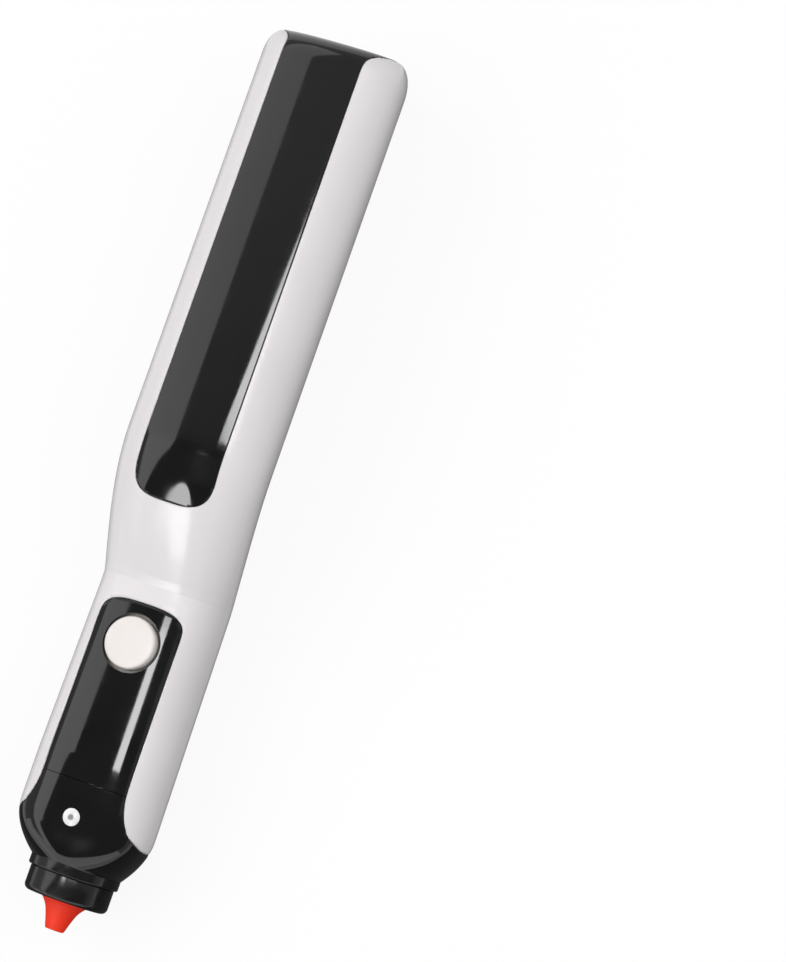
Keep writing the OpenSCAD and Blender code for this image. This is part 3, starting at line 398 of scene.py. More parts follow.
def flank(grow, mark):
    tongue = half_oval(TONGUE_L + grow, TONGUE_UP + grow, TONGUE_DOWN + grow, TONGUE_POWER)
    front = tongue + (tongue_u - TONGUE_L, axis_h)
    tail_u = TAIL_INSET + float(lean(0, TAIL_Z)) + TAIL_L
    tail = half_oval(TAIL_L + grow, TAIL_UP + grow, TAIL_DOWN + grow, TAIL_POWER)
    rear = tail * (-1, 1) + (tail_u, TAIL_Z)
    top = [(tongue_u - TONGUE_L, 2 * rear_h), (tail_u, 2 * rear_h)]
    return prism(np.concatenate([front, top, rear[::-1]]), "y", -rear_w, rear_w, mark)


print("length of the flank, mm:", round(tongue_u - TAIL_INSET - float(lean(0, TAIL_Z)), 1))

# %% [markdown]
# ## The openings for the black covers
# Seen from above, the rear opening ends in a squarish round at the slope and flares out
# at the rear end, where a block takes in the end's face. The front opening starts round
# behind the button and flares out into the nose. Both could be drawn by eye, but the same
# half oval and a power curve keep them smooth.

# %% The openings seen from above
COVER_END_L, COVER_END_POWER = 7.5, 3.2
REAR_FLARE_L, REAR_FLARE, REAR_FLARE_POWER = 6.5, 3.6, 4
BACK_L, BACK_Z = 7.2, 6.4
PANEL_END_L, PANEL_END_POWER = 4.5, 3
FRONT_FLARE_L, FRONT_FLARE, FRONT_FLARE_POWER = 11.7, 6, 2.3


def rear_opening(shrink, mark):
    half = cover_w / 2 - shrink
    end = half_oval(COVER_END_L, half, half, COVER_END_POWER) + (cover_l - COVER_END_L - shrink, 0)
    run = np.linspace(0, REAR_FLARE_L, 24)
    tail = np.stack([REAR_FLARE_L - run, half + (run / REAR_FLARE) ** REAR_FLARE_POWER], -1)
    outline = np.concatenate([[(-2, -rear_w)], tail[::-1] * (1, -1), end, tail, [(-2, rear_w)]])
    opening = prism(outline, "z", part_z + shrink, 2 * rear_h, mark)
    back = brick((-2, BACK_L), (-half, half), (BACK_Z + shrink, rear_h + 3), mark)
    return cut(opening, back, "UNION")


def front_opening(shrink, mark):
    half, front_half = panel_w / 2 - shrink, panel_front_w / 2 - shrink
    round_end = half_oval(PANEL_END_L, half, half, PANEL_END_POWER)
    rear = round_end * (-1, 1) + (panel_start + PANEL_END_L + shrink, 0)
    run = np.linspace(0, FRONT_FLARE_L, 28)
    flare = np.stack([flare_u + run, front_half + (run / FRONT_FLARE) ** FRONT_FLARE_POWER], -1)
    end = [(pen_l, -rear_w), (pen_l, rear_w)]
    outline = np.concatenate([rear[::-1], flare * (1, -1), end, flare[::-1]])
    return prism(outline, "z", part_z + shrink, 2 * rear_h, mark)


print("widths of the openings, mm:", cover_w, panel_w)

# %% [markdown]
# ## Rolled edges
# Moulded edges are never knife sharp: a thin rolled edge catches the light along every
# seam. A Bevel modifier stumbles over the small faces that cutting leaves, so the cover
# is split along a line just inside its edge, and the edge itself is sunk and turned.

# %% Roll an edge
ROLL_WIDTH, ROLL_DROP, ROLL_TURN = 0.55, 0.2, math.radians(52)
WELD = 0.0008


def roll_edges(piece, inside):
    """Sinks and turns a cover's edge. Returns its points in millimetres and the normals there."""
    rim = copy_of(piece)
    cut(piece, inside, "INTERSECT", keep_tool=True)
    cut(rim, inside, "DIFFERENCE")
    bm = bmesh.new()
    bm.from_mesh(piece.data)
    bm.from_mesh(rim.data)
    clear_away(rim)
    origin = bm.faces.layers.int["origin"]
    bmesh.ops.delete(bm, geom=[f for f in bm.faces if f[origin] == SPLIT], context="FACES")
    bmesh.ops.remove_doubles(bm, verts=bm.verts, dist=WELD)
    bm.normal_update()
    bm.verts.index_update()
    edge_turn = {}
    for v in bm.verts:
        marks = {f[origin] for f in v.link_faces}
        if SKIN in marks and SEAM in marks:
            edge_turn[v.index] = sum((f.normal for f in v.link_faces if f[origin] == SEAM), Vector())
    at = np.array([v.co for v in bm.verts])
    normals = skin_normals(at)
    for index, outward in edge_turn.items():
        n = Vector(normals[index])
        outward = (outward - n * outward.dot(n)).normalized()
        normals[index] = n * math.cos(ROLL_TURN) + outward * math.sin(ROLL_TURN)
        at[index] -= ROLL_DROP * np.array(n)
    bm.to_mesh(piece.data)
    bm.free()
    return at, normals


print("rolled edge, mm:", ROLL_WIDTH)

# %% [markdown]
# ## Normals of a finished cover
# Each corner of a face can have a normal of its own. Smooth shading alone would blend the
# skin with the seam walls, so the skin's corners take the formula's normals and all other
# faces stay flat. Here the mesh also goes from millimetres into the frame's metres.

# %% Set the shape and its normals
def set_shape(piece, at, normals):
    """Moves the mesh into the pen's frame in metres and gives the skin its true normals."""
    mesh = piece.data
    placed = (at - (pen_l / 2, 0, 0)) / 1000
    mesh.vertices.foreach_set("co", placed.astype(np.float32).ravel())
    mesh.update()
    count = len(mesh.polygons)
    sizes, marks = np.empty(count, int), np.empty(count, int)
    facing, corner = np.empty(count * 3), np.empty(len(mesh.loops), int)
    mesh.polygons.foreach_get("loop_total", sizes)
    mesh.polygons.foreach_get("normal", facing)
    mesh.attributes["origin"].data.foreach_get("value", marks)
    mesh.loops.foreach_get("vertex_index", corner)
    flat = np.repeat(facing.reshape(-1, 3), sizes, axis=0)
    true = normals[corner]
    skin = np.repeat(marks == SKIN, sizes) & (np.sum(flat * true, axis=1) > 0.3)
    mesh.polygons.foreach_set("use_smooth", np.ones(count, bool))
    mesh.normals_split_custom_set(np.where(skin[:, None], true, flat).tolist())


print("middle of the pen, mm from its rear:", round(pen_l / 2, 2))

# %% [markdown]
# ## Upper white half
# The upper half carries both flanks, the bridge between the black covers and four screw
# posts that stand inside on webs. It could be built as a shell with its own thickness, but
# cutting it from the long wall along the flank outline keeps it flush with its neighbours.

# %% Upper white half
FRONT_SCREWS = [(foot + 1, 8.4), (panel_end - 3.1, 9.2)]
POST_R, POST_H, PILOT_R, PILOT_TOP, WEB_HALF = 2.2, 7.2, 1.15, 16.6, 0.6


def between(low, high):
    """A block past the pen's ends and sides, from one height to another."""
    return brick((-9, pen_l + 9), (-40, 40), (low, high))


def upper_region(inset, mark, low):
    region = flank(-inset, mark)
    cut(region, between(low, 90), "INTERSECT")
    cut(region, rear_opening(-inset, mark), "DIFFERENCE")
    return cut(region, front_opening(-inset, mark), "DIFFERENCE")


upper_half = cut(copy_of(long_wall), upper_region(0, SEAM, part_z), "INTERSECT")
for u, y in FRONT_SCREWS:
    reach = float(section(u)[0]) - wall / 2
    tall = (part_z, part_z + POST_H)
    for side in (-1, 1):
        web = sorted((side * y, side * reach))
        cut(upper_half, rod("z", (u, side * y), *tall, POST_R), "UNION")
        cut(upper_half, brick((u - WEB_HALF, u + WEB_HALF), web, tall), "UNION")
        cut(upper_half, rod("z", (u, side * y), part_z - 1, PILOT_TOP, PILOT_R), "DIFFERENCE")
set_shape(upper_half, *roll_edges(upper_half, upper_region(ROLL_WIDTH, SPLIT, -5)))
print("faces of the upper half:", len(upper_half.data.polygons))

# %% [markdown]
# ## Ribs of the lower white half
# Ribs stiffen the belly, and their round saddles carry the tube and the heater. An Array
# modifier could repeat one rib, but they differ in height and saddle, so a function makes
# each from its place, thickness, top and saddle radius.

# %% Ribs
RIB, RIB_TOP, RIB_HALF_W, TUBE_SADDLE = 1.6, 11.4, 8.9, 4.5
HOLDER_RIB, GRIP_RIB_TOP, HOLDER_SADDLE = 2.5, 9.6, 7.4
RIBS = [(u, RIB, RIB_TOP, TUBE_SADDLE) for u in (15, 39, 62.5, 72.7, 84.4)]
RIBS += [(109.6, RIB, 7.6, 4.2), (foot + 4, RIB, GRIP_RIB_TOP, 5.5)]
RIBS += [(u, HOLDER_RIB, GRIP_RIB_TOP, HOLDER_SADDLE) for u in (foot + 15.5, nose_end - 14)]


def cross_rib(u, thick, top, saddle):
    rib = brick((u, u + thick), (-RIB_HALF_W, RIB_HALF_W), (0, top))
    cut(rib, rod("x", (0, axis_h), u - 1, u + thick + 1, saddle), "DIFFERENCE")
    return cut(rib, brick((u - 1, u + thick + 1), (-saddle, saddle), (axis_h, 30)), "DIFFERENCE")


print("ribs:", len(RIBS))

# %% [markdown]
# ## Lower white half
# The belly takes eight screws from below: each has a braced boss inside and a well for
# its head outside. Bosses could be trimmed by hand where they meet the curved wall. Here
# the room inside the skin trims them, and the ribs too, so nothing pokes through.

# %% Lower white half
CRADLE_SCREWS = [(24, 6.8), (58, 6.8)]
ROOM_DEPTH, ROOM_START = 1.6, 7
BOSS_FOOT_R, BOSS_FOOT_H, BRACE_L, BRACE_HALF = 2.7, 8, 5, 0.5
SCREW_R, WELL_R, WELL_TOP = 1.25, 1.95, 7


def lower_region(inset, mark, high):
    region = flank(-inset, mark)
    cut(region, between(-9, high), "INTERSECT")
    return cut(region, rear_opening(-inset, mark), "DIFFERENCE")


def screw_boss(u, y, top):
    boss = cut(rod("z", (u, y), 0, BOSS_FOOT_H, BOSS_FOOT_R), rod("z", (u, y), 0, top, POST_R), "UNION")
    for run in (-BRACE_L, BRACE_L):
        brace = [(u, 0), (u + run, 0), (u, top - 1)]
        cut(boss, prism(brace, "y", y - BRACE_HALF, y + BRACE_HALF), "UNION")
    return boss


room_places = stations(ROOM_DEPTH, ROOM_START, tongue_u - 2, False)
inner_room = skin_solid(room_places, INNER_AROUND, ROOM_DEPTH, INNER)
lower_half = cut(copy_of(long_wall), lower_region(0, SEAM, part_z), "INTERSECT")
for rib in RIBS:
    cut(lower_half, cut(cross_rib(*rib), inner_room, "INTERSECT", keep_tool=True), "UNION")
screws = [(u, y, RIB_TOP) for u, y in CRADLE_SCREWS] + [(u, y, part_z) for u, y in FRONT_SCREWS]
for u, y, top in screws:
    for at in ((u, -y), (u, y)):
        boss = screw_boss(*at, top)
        cut(lower_half, cut(boss, inner_room, "INTERSECT", keep_tool=True), "UNION")
        cut(lower_half, rod("z", at, -1, 30, SCREW_R), "DIFFERENCE")
        cut(lower_half, rod("z", at, -1, WELL_TOP, WELL_R), "DIFFERENCE")
clear_away(inner_room)
set_shape(lower_half, *roll_edges(lower_half, lower_region(ROLL_WIDTH, SPLIT, 30)))
print("faces of the lower half:", len(lower_half.data.polygons))

# %% [markdown]
# ## Rear cover
# The rear cover lies over the battery bay, wraps round the rear end and snaps in with
# hooks under its long edges. Its end has a round hole for the inlet and a slot for
# charging. The end could be a piece of its own, but one wall without a joint keeps the
# gloss unbroken round the corner.

# %% Rear cover
COVER_WRAP_L = 10.2
HOOKS, HOOK_FIRST, HOOK_RUN, HOOK_HALF_L = 4, 18, cover_l - 48, 2
HOOK_INSET, HOOK_SINK, HOOK_HOLD, HOOK_GAP = 1.2, 0.3, 0.6, 0.2
HOOK_LEG, HOOK_TIP, HOOK_DOWN, HOOK_LIP = 0.8, 1.6, 1.6, 0.4
INLET_R, INLET_SEAT_R, INLET_SEAT_L = 5.3, 6.5, 3.1
PORT_Z, PORT_HALF, PORT_R, PORT_DEEP = 20.5, 2.84, 1.83, 5.8


def cover_region(inset, mark):
    back = brick((-1, COVER_WRAP_L), (-rear_w, rear_w), (-1, 2 * rear_h), mark)
    cut(back, flank(seam + inset, mark), "DIFFERENCE")
    return cut(back, rear_opening(seam + inset, mark), "UNION")


def cover_hook(u, side):
    y = cover_w / 2 - HOOK_INSET
    leg, tip = y + HOOK_LEG, y + HOOK_TIP
    top = float(skin_top(u, y, wall)) + HOOK_SINK
    grip = float(skin_top(u, cover_w / 2 + HOOK_HOLD, wall)) - HOOK_GAP
    outline = [
        (y, top), (y, grip - HOOK_DOWN), (leg, grip - HOOK_DOWN), (tip, grip - HOOK_LIP),
        (tip, grip), (leg, grip), (leg, top),
    ]
    return prism([(side * a, b) for a, b in outline], "x", u - HOOK_HALF_L, u + HOOK_HALF_L)


rear_cover = cut(copy_of(long_wall), cover_region(0, SEAM), "INTERSECT")
for k in range(HOOKS):
    for side in (-1, 1):
        cut(rear_cover, cover_hook(HOOK_FIRST + k * HOOK_RUN / (HOOKS - 1), side), "UNION")
cut(rear_cover, rod("x", (0, axis_h), -1, wall + 1, INLET_R), "DIFFERENCE")
cut(rear_cover, rod("x", (0, axis_h), wall, wall + INLET_SEAT_L, INLET_SEAT_R), "DIFFERENCE")
turn = np.radians(np.arange(-90, 91, 6))
slot_end = np.stack([PORT_HALF + PORT_R * np.cos(turn), PORT_Z + PORT_R * np.sin(turn)], -1)
slot_outline = np.concatenate([slot_end, slot_end[::-1] * (-1, 1)])
cut(rear_cover, prism(slot_outline, "x", -1, PORT_DEEP), "DIFFERENCE")
set_shape(rear_cover, *roll_edges(rear_cover, cover_region(ROLL_WIDTH, SPLIT)))
print("faces of the rear cover:", len(rear_cover.data.polygons))

# %% [markdown]
# ## Front panel
# The front panel frames the button, and four hollow pegs under it take the screws of the
# control board. A flat plate could be bent over the grip with a Shrinkwrap, but the long
# wall already has the grip's curve, so the panel is what the front opening takes out of it.

# %% Front panel
PEG_PLACES = (panel_start + 4.3, panel_start + 29.7)
PEG_Y, PEG_FOOT, PEG_TOP, PEG_R, PEG_HOLE_R = 7.2, 18.5, 21.3, 1.5, 0.75
BUTTON_HOLE_R = 5.95
front_panel = cut(copy_of(long_wall), front_opening(seam, SEAM), "INTERSECT")
cut(front_panel, brick((0, panel_end), (-40, 40), (0, 60)), "INTERSECT")
for u in PEG_PLACES:
    for at in ((u, -PEG_Y), (u, PEG_Y)):
        cut(front_panel, rod("z", at, PEG_FOOT, PEG_TOP, PEG_R), "UNION")
        cut(front_panel, rod("z", at, PEG_FOOT - 1, PEG_TOP, PEG_HOLE_R), "DIFFERENCE")
cut(front_panel, rod("z", (button_u, 0), 0, 60, BUTTON_HOLE_R), "DIFFERENCE")
set_shape(front_panel, *roll_edges(front_panel, front_opening(seam + ROLL_WIDTH, SPLIT)))
print("faces of the front panel:", len(front_panel.data.polygons))

# %% [markdown]
# ## Nose
# The nose fills the space between the white tongues and closes the shell round the
# heater, with a bore in front and a small hole for the lens. A lofted cap would have to
# be matched to the tongues, so it is cut from its own wall by the same outlines. The lens
# hole stands square on the sloping skin.

# %% Nose
NOSE_REACH, NOSE_BORE_R, LENS_HOLE_R = 23, 5.6, 1.8
lens_top = float(section(lens_u)[1])
lens_tilt = math.atan((float(section(lens_u - 1)[1]) - float(section(lens_u + 1)[1])) / 2)
lens_place = Matrix.Translation((lens_u, 0, lens_top)) @ Matrix.Rotation(lens_tilt, 4, "Y")


def nose_region(inset, mark):
    block = brick((tongue_u - NOSE_REACH, pen_l), (-rear_w, rear_w), (-1, 2 * rear_h), mark)
    cut(block, flank(seam + inset, mark), "DIFFERENCE")
    return cut(block, front_opening(seam + inset, mark), "UNION")


nose = cut(copy_of(nose_wall), nose_region(0, SEAM), "INTERSECT")
cut(nose, rod("x", (0, axis_h), nose_end - 3, nose_end + 1, NOSE_BORE_R), "DIFFERENCE")
lens_hole = rod("z", (0, 0), -6, 6, LENS_HOLE_R)
lens_hole.data.transform(lens_place)
cut(nose, lens_hole, "DIFFERENCE")
set_shape(nose, *roll_edges(nose, nose_region(ROLL_WIDTH, SPLIT)))
clear_away(long_wall)
clear_away(nose_wall)
print("faces of the nose:", len(nose.data.polygons))

# %% [markdown]
# ## Turned pieces
# The ring, the collar nut, the nozzle sleeve, the button, the lens and the inlet bush
# are round. A Screw modifier could turn an outline, but the outlines here are closed
# rings of points, so a few lines turn them and keep the corners crisp.

# %% Turn an outline about an axis
def turned(name, outline, place, count=144):
    """Outline of (radius, height) points, turned about the local Z of place, in millimetres."""
    a = np.linspace(0, 2 * np.pi, count, endpoint=False)
    r, h = np.asarray(outline, float).T
    tall = np.repeat(h[:, None], count, 1)
    ring = np.stack([r[:, None] * np.cos(a), r[:, None] * np.sin(a), tall], -1)
    rows = len(r)
    closed = r[0] > 1e-6
    faces = []
    for k in range(rows if closed else rows - 1):
        for i in range(count):
            j, n = (i + 1) % count, (k + 1) % rows
            faces.append([k * count + i, k * count + j, n * count + j, n * count + i])
    bm = bmesh.new()
    points = [bm.verts.new(p) for p in ring.reshape(-1, 3)]
    for f in faces:
        bm.faces.new([points[i] for i in f])
    bmesh.ops.remove_doubles(bm, verts=bm.verts, dist=0.0005)
    bmesh.ops.recalc_face_normals(bm, faces=bm.faces)
    mesh = bpy.data.meshes.new(name)
    bm.to_mesh(mesh)
    bm.free()
    to_metres = Matrix.Scale(0.001, 4) @ Matrix.Translation((-pen_l / 2, 0, 0))
    mesh.transform(to_metres @ place)
    mesh.polygons.foreach_set("use_smooth", np.ones(len(mesh.polygons), bool))
    mesh.set_sharp_from_angle(angle=math.radians(38))
    piece = bpy.data.objects.new(name, mesh)
    bpy.context.scene.collection.objects.link(piece)
    return piece


def bend(centre, radius, start, end, steps=8):
    """Points of a round corner, from one angle to another in degrees."""
    t = np.radians(np.linspace(start, end, steps + 1))
    return [(centre[0] + radius * math.cos(x), centre[1] + radius * math.sin(x)) for x in t]


along_pen = Matrix.Translation((0, 0, axis_h)) @ Matrix.Rotation(math.pi / 2, 4, "Y")
print("points of a round corner:", len(bend((0, 0), 1, 0, 90)))

# %% [markdown]
# ## Ring, collar nut and nozzle sleeve
# At the front end a heat ring seats on the nose, the collar nut screws onto its neck, and
# the orange sleeve comes out of the nut and narrows to the nozzle. Cylinders with a Bevel
# would be close, but each outline here also has the hidden seats that hold the next piece.
# An outline is a list of radius and place along the pen, with its corners rounded.

# %% Ring, collar nut and nozzle sleeve
RING_R, RING_EDGE, RING_BORE_R, NECK_R, NECK_L = 9.25, 0.4, 6.2, 7.2, 3.2
ring_outline = [(RING_BORE_R, nose_end), (RING_R, nose_end)]
ring_outline += bend((RING_R - RING_EDGE, ring_end - RING_EDGE), RING_EDGE, 0, 90, 4)
ring_outline += [(NECK_R, ring_end), (NECK_R, ring_end + NECK_L), (RING_BORE_R, ring_end + NECK_L)]
heat_ring = turned("heat_ring_turned", ring_outline, along_pen)

COLLAR_R, COLLAR_BORE_R, THREAD_R, THREAD_L = 8.6, 5.0, 7.3, 3.3
BACK_EDGE, FRONT_EDGE, BORE_EDGE = 0.25, 1.2, 0.3
collar_outline = [(THREAD_R, ring_end)]
collar_outline += bend((COLLAR_R - BACK_EDGE, ring_end + BACK_EDGE), BACK_EDGE, -90, 0, 4)
collar_outline += bend((COLLAR_R - FRONT_EDGE, collar_end - FRONT_EDGE), FRONT_EDGE, 0, 90)
collar_outline += bend((COLLAR_BORE_R + BORE_EDGE, collar_end - BORE_EDGE), BORE_EDGE, 90, 180, 4)
collar_outline += [(COLLAR_BORE_R, ring_end + THREAD_L), (THREAD_R, ring_end + THREAD_L)]
collar_nut = turned("collar_nut_turned", collar_outline, along_pen)

SLEEVE_R, SLEEVE_FLANGE_R, SLEEVE_BACK_R, SLEEVE_BACK = 4.9, 6.0, 3.65, ring_end + 1.4
TIP_R, TIP_EDGE, TIP_BORE_R, TIP_BORE_L = 1.9, 0.15, 0.95, 0.9
flare = [
    (SLEEVE_R, 0), (4.5, 0.3), (4.15, 0.65), (3.75, 1.15), (3.42, 1.65),
    (3.15, 2.2), (2.85, 3), (2.45, 4.2), (2.0, 5.75),
]
sleeve_outline = [(SLEEVE_FLANGE_R, SLEEVE_BACK), (SLEEVE_FLANGE_R, ring_end + NECK_L)]
sleeve_outline += [(SLEEVE_R, ring_end + NECK_L)]
sleeve_outline += [(r, collar_end + h) for r, h in flare]
sleeve_outline += bend((TIP_R - TIP_EDGE, pen_l - TIP_EDGE), TIP_EDGE, 0, 90, 3)
sleeve_outline += [(TIP_BORE_R, pen_l), (TIP_BORE_R, pen_l - TIP_BORE_L), (SLEEVE_BACK_R, SLEEVE_BACK)]
nozzle_sleeve = turned("nozzle_sleeve_turned", sleeve_outline, along_pen)
print("nozzle end, mm from the rear:", round(pen_l, 2))

# %% [markdown]
# ## Button, lens and inlet bush
# The button is a shallow cap with a stem for the switch and a flange that keeps it in its
# hole. The lens is a peg with a faintly domed end, and the bush guides the inlet at the
# rear end. A sphere could give the dome, but a few points of its arc are enough.

# %% Button, lens and inlet bush
CAP_R, CAP_RISE, CAP_EDGE, CAP_CROWN = 5.2, 1.3, 0.6, 0.06
STEM_R, STEM_FOOT, CAP_BORE_R, CAP_ROOF = 2.0, 20.8, 4.3, 23.7
FLANGE_R, FLANGE_FOOT, FLANGE_TOP = 6.1, 20.2, 20.9
cap_top = grip_h + CAP_RISE
button_outline = [
    (0, STEM_FOOT), (STEM_R, STEM_FOOT), (STEM_R, CAP_ROOF), (CAP_BORE_R, CAP_ROOF),
    (CAP_BORE_R, FLANGE_FOOT), (FLANGE_R, FLANGE_FOOT), (FLANGE_R, FLANGE_TOP), (CAP_R, FLANGE_TOP),
]
button_outline += bend((CAP_R - CAP_EDGE, cap_top - CAP_EDGE - CAP_CROWN), CAP_EDGE, 0, 82, 8)
button_outline += [(3.6, cap_top - 0.025), (1.8, cap_top), (0, cap_top)]
push_button = turned("push_button_turned", button_outline, Matrix.Translation((button_u, 0, 0)))

LENS_R, LENS_DEEP, DOME_R, DOME_DOWN = 1.75, 2, 4.6, 4.2
dome = [(r, -DOME_DOWN + math.sqrt(DOME_R ** 2 - r * r)) for r in np.linspace(LENS_R, 0, 12)]
lens_outline = [(0, -LENS_DEEP), (LENS_R, -LENS_DEEP)] + dome
lens = turned("indicator_lens_turned", lens_outline, lens_place, 72)

BUSH_R, BUSH_EDGE, BUSH_L, LIP_R, LIP_L = 5.2, 0.2, 12, 6.3, 1.1
MOUTH_R, MOUTH_L, BUSH_BORE_R, SEAT_R, SEAT_U = 4.6, 0.8, 3.8, 4.45, 8
bush_outline = [(MOUTH_R, 0)] + bend((BUSH_R - BUSH_EDGE, BUSH_EDGE), BUSH_EDGE, -90, 0, 3)
bush_outline += [(BUSH_R, wall), (LIP_R, wall), (LIP_R, wall + LIP_L), (BUSH_R, wall + LIP_L)]
bush_outline += [(BUSH_R, BUSH_L), (SEAT_R, BUSH_L), (SEAT_R, SEAT_U), (BUSH_BORE_R, SEAT_U)]
bush_outline += [(BUSH_BORE_R, MOUTH_L)]
inlet_bush = turned("inlet_bush_turned", bush_outline, along_pen)
print("top of the button, mm:", round(cap_top, 2))

# %% [markdown]
# ## Finishes
# A moulded plastic looks real through what breaks its evenness: a faint cloudiness of
# the colour, a gloss that changes from place to place, and a surface that is never quite
# flat. Image textures could hold these, but noise in the pen's own space needs no
# unwrapping and keeps one scale over all the pieces.

# %% Helpers for a finish
NOISE_SPAN = (0.3, 0.7)


def start_finish(name, rough, metal=0.0):
    finish = bpy.data.materials.new(name)
    finish.use_nodes = True
    shader = finish.node_tree.nodes["Principled BSDF"]
    shader.inputs["Roughness"].default_value = rough
    shader.inputs["Metallic"].default_value = metal
    return finish, finish.node_tree, shader


def shades_between(tree, places, first, last):
    """A Color Ramp node that goes from one colour to another between two places."""
    shades = tree.nodes.new("ShaderNodeValToRGB")
    for stop, at, colour in zip(shades.color_ramp.elements, places, (first, last)):
        stop.position, stop.color = at, (*colour, 1)
    return shades


def values_between(tree, values):
    """A Map Range node with its two From and two To values."""
    spread = tree.nodes.new("ShaderNodeMapRange")
    for name, value in zip(("From Min", "From Max", "To Min", "To Max"), values):
        spread.inputs[name].default_value = value
    return spread


finishes = {}
print("noise is used between", NOISE_SPAN)

# %% [markdown]
# ## Clouds, tint, gloss and relief
# Every finish is made of the same four things. Clouds are patches of noise of a given
# size. Tint turns them into two close colours, gloss into a span of roughness, and relief
# into bumps of a given height. A node group could hold them, but functions can be read
# from top to bottom.

# %% Clouds, tint, gloss and relief
def clouds(tree, size_mm, detail=3.0, stretch=(1, 1, 1)):
    """Noise with patches of this size, drawn out by stretch along x, y and z."""
    place = tree.nodes.new("ShaderNodeTexCoord")
    scale = tree.nodes.new("ShaderNodeMapping")
    noise = tree.nodes.new("ShaderNodeTexNoise")
    scale.inputs["Scale"].default_value = [1000 / size_mm / s for s in stretch]
    noise.inputs["Scale"].default_value = 1
    noise.inputs["Detail"].default_value = detail
    tree.links.new(place.outputs["Object"], scale.inputs["Vector"])
    tree.links.new(scale.outputs["Vector"], noise.inputs["Vector"])
    return noise


def tint(tree, shader, noise, dark, light):
    shades = shades_between(tree, NOISE_SPAN, dark, light)
    tree.links.new(noise.outputs["Fac"], shades.inputs["Fac"])
    tree.links.new(shades.outputs["Color"], shader.inputs["Base Color"])


def gloss(tree, shader, noise, low, high):
    spread = values_between(tree, (*NOISE_SPAN, low, high))
    tree.links.new(noise.outputs["Fac"], spread.inputs["Value"])
    tree.links.new(spread.outputs["Result"], shader.inputs["Roughness"])


def relief(tree, shader, layers):
    """Bumps laid over each other, each from a noise and its height in millimetres."""
    under = None
    for noise, height_mm in layers:
        bump = tree.nodes.new("ShaderNodeBump")
        bump.inputs["Distance"].default_value = height_mm / 1000
        tree.links.new(noise.outputs["Fac"], bump.inputs["Height"])
        if under:
            tree.links.new(under.outputs["Normal"], bump.inputs["Normal"])
        under = bump
    tree.links.new(under.outputs["Normal"], shader.inputs["Normal"])


print("finish helpers ready")

# %% [markdown]
# ## White and black mouldings
# The white halves are glossy ABS, a little warm, with the faint orange peel of the
# mould. The black covers are polished far more: their gloss shows the studio as streaks,
# and a slow waviness, a few hundredths of a millimetre high, keeps the streaks from
# being ruler straight. The ring and the nut near the heat are a duller, glass-filled
# black, and the button is a satin white. One colour and one roughness each would be
# quicker, but a surface without any change looks drawn instead of moulded.

# %% Shell finishes
finish, tree, shader = start_finish("white_shell", 0.16)
shader.inputs["Specular IOR Level"].default_value = 0.22
tint(tree, shader, clouds(tree, 30), (0.79, 0.762, 0.77), (0.825, 0.797, 0.805))
gloss(tree, shader, clouds(tree, 8), 0.13, 0.2)
relief(tree, shader, [(clouds(tree, 25, 1), 0.03), (clouds(tree, 0.7, 2), 0.0012)])
finishes["white_shell"] = finish

finish, tree, shader = start_finish("black_gloss", 0.08)
tint(tree, shader, clouds(tree, 20), (0.0045, 0.0045, 0.005), (0.0075, 0.0075, 0.008))
gloss(tree, shader, clouds(tree, 5), 0.05, 0.1)
relief(tree, shader, [(clouds(tree, 22, 1), 0.025), (clouds(tree, 0.5, 2), 0.0004)])
finishes["black_gloss"] = finish

finish, tree, shader = start_finish("heat_black", 0.2)
tint(tree, shader, clouds(tree, 6), (0.006, 0.006, 0.0065), (0.01, 0.01, 0.0105))
gloss(tree, shader, clouds(tree, 1.5), 0.15, 0.24)
relief(tree, shader, [(clouds(tree, 0.35, 3), 0.002)])
finishes["heat_black"] = finish

finish, tree, shader = start_finish("button_white", 0.38)
tint(tree, shader, clouds(tree, 9), (0.79, 0.745, 0.715), (0.835, 0.79, 0.765))
gloss(tree, shader, clouds(tree, 2), 0.33, 0.43)
relief(tree, shader, [(clouds(tree, 0.4, 2), 0.0015)])
finishes["button_white"] = finish
print("shell finishes:", sorted(finishes))

# %% [markdown]
# ## Lens and silicone
# The indicator lens is a small milky light pipe: white all over, with a greyer spot in
# the middle where the lamp sits behind it. A painted texture could hold the spot, but the
# distance from the lens's own axis, in millimetres, makes it without unwrapping. The
# nozzle sleeve is orange-red silicone, matt, with a little light scattered under its
# surface.

# %% Lens and silicone finishes
SPOT_MM, SPOT_GREY, MILKY = (0.55, 0.85), (0.3, 0.3, 0.31), (0.88, 0.88, 0.87)
finish, tree, shader = start_finish("clear_lens", 0.16)
shader.inputs["Subsurface Weight"].default_value = 0.2
shader.inputs["Subsurface Radius"].default_value = (0.0006, 0.0006, 0.0006)
place = tree.nodes.new("ShaderNodeTexCoord")
reach = tree.nodes.new("ShaderNodeVectorMath")
reach.operation = "DISTANCE"
reach.inputs[1].default_value = ((lens_u - pen_l / 2) / 1000, 0, lens_top / 1000)
spot = shades_between(tree, SPOT_MM, SPOT_GREY, MILKY)
grow = tree.nodes.new("ShaderNodeMath")
grow.operation = "MULTIPLY"
grow.inputs[1].default_value = 1000
tree.links.new(place.outputs["Object"], reach.inputs[0])
tree.links.new(reach.outputs["Value"], grow.inputs[0])
tree.links.new(grow.outputs["Value"], spot.inputs["Fac"])
tree.links.new(spot.outputs["Color"], shader.inputs["Base Color"])
relief(tree, shader, [(clouds(tree, 1.2, 2), 0.002)])
finishes["clear_lens"] = finish

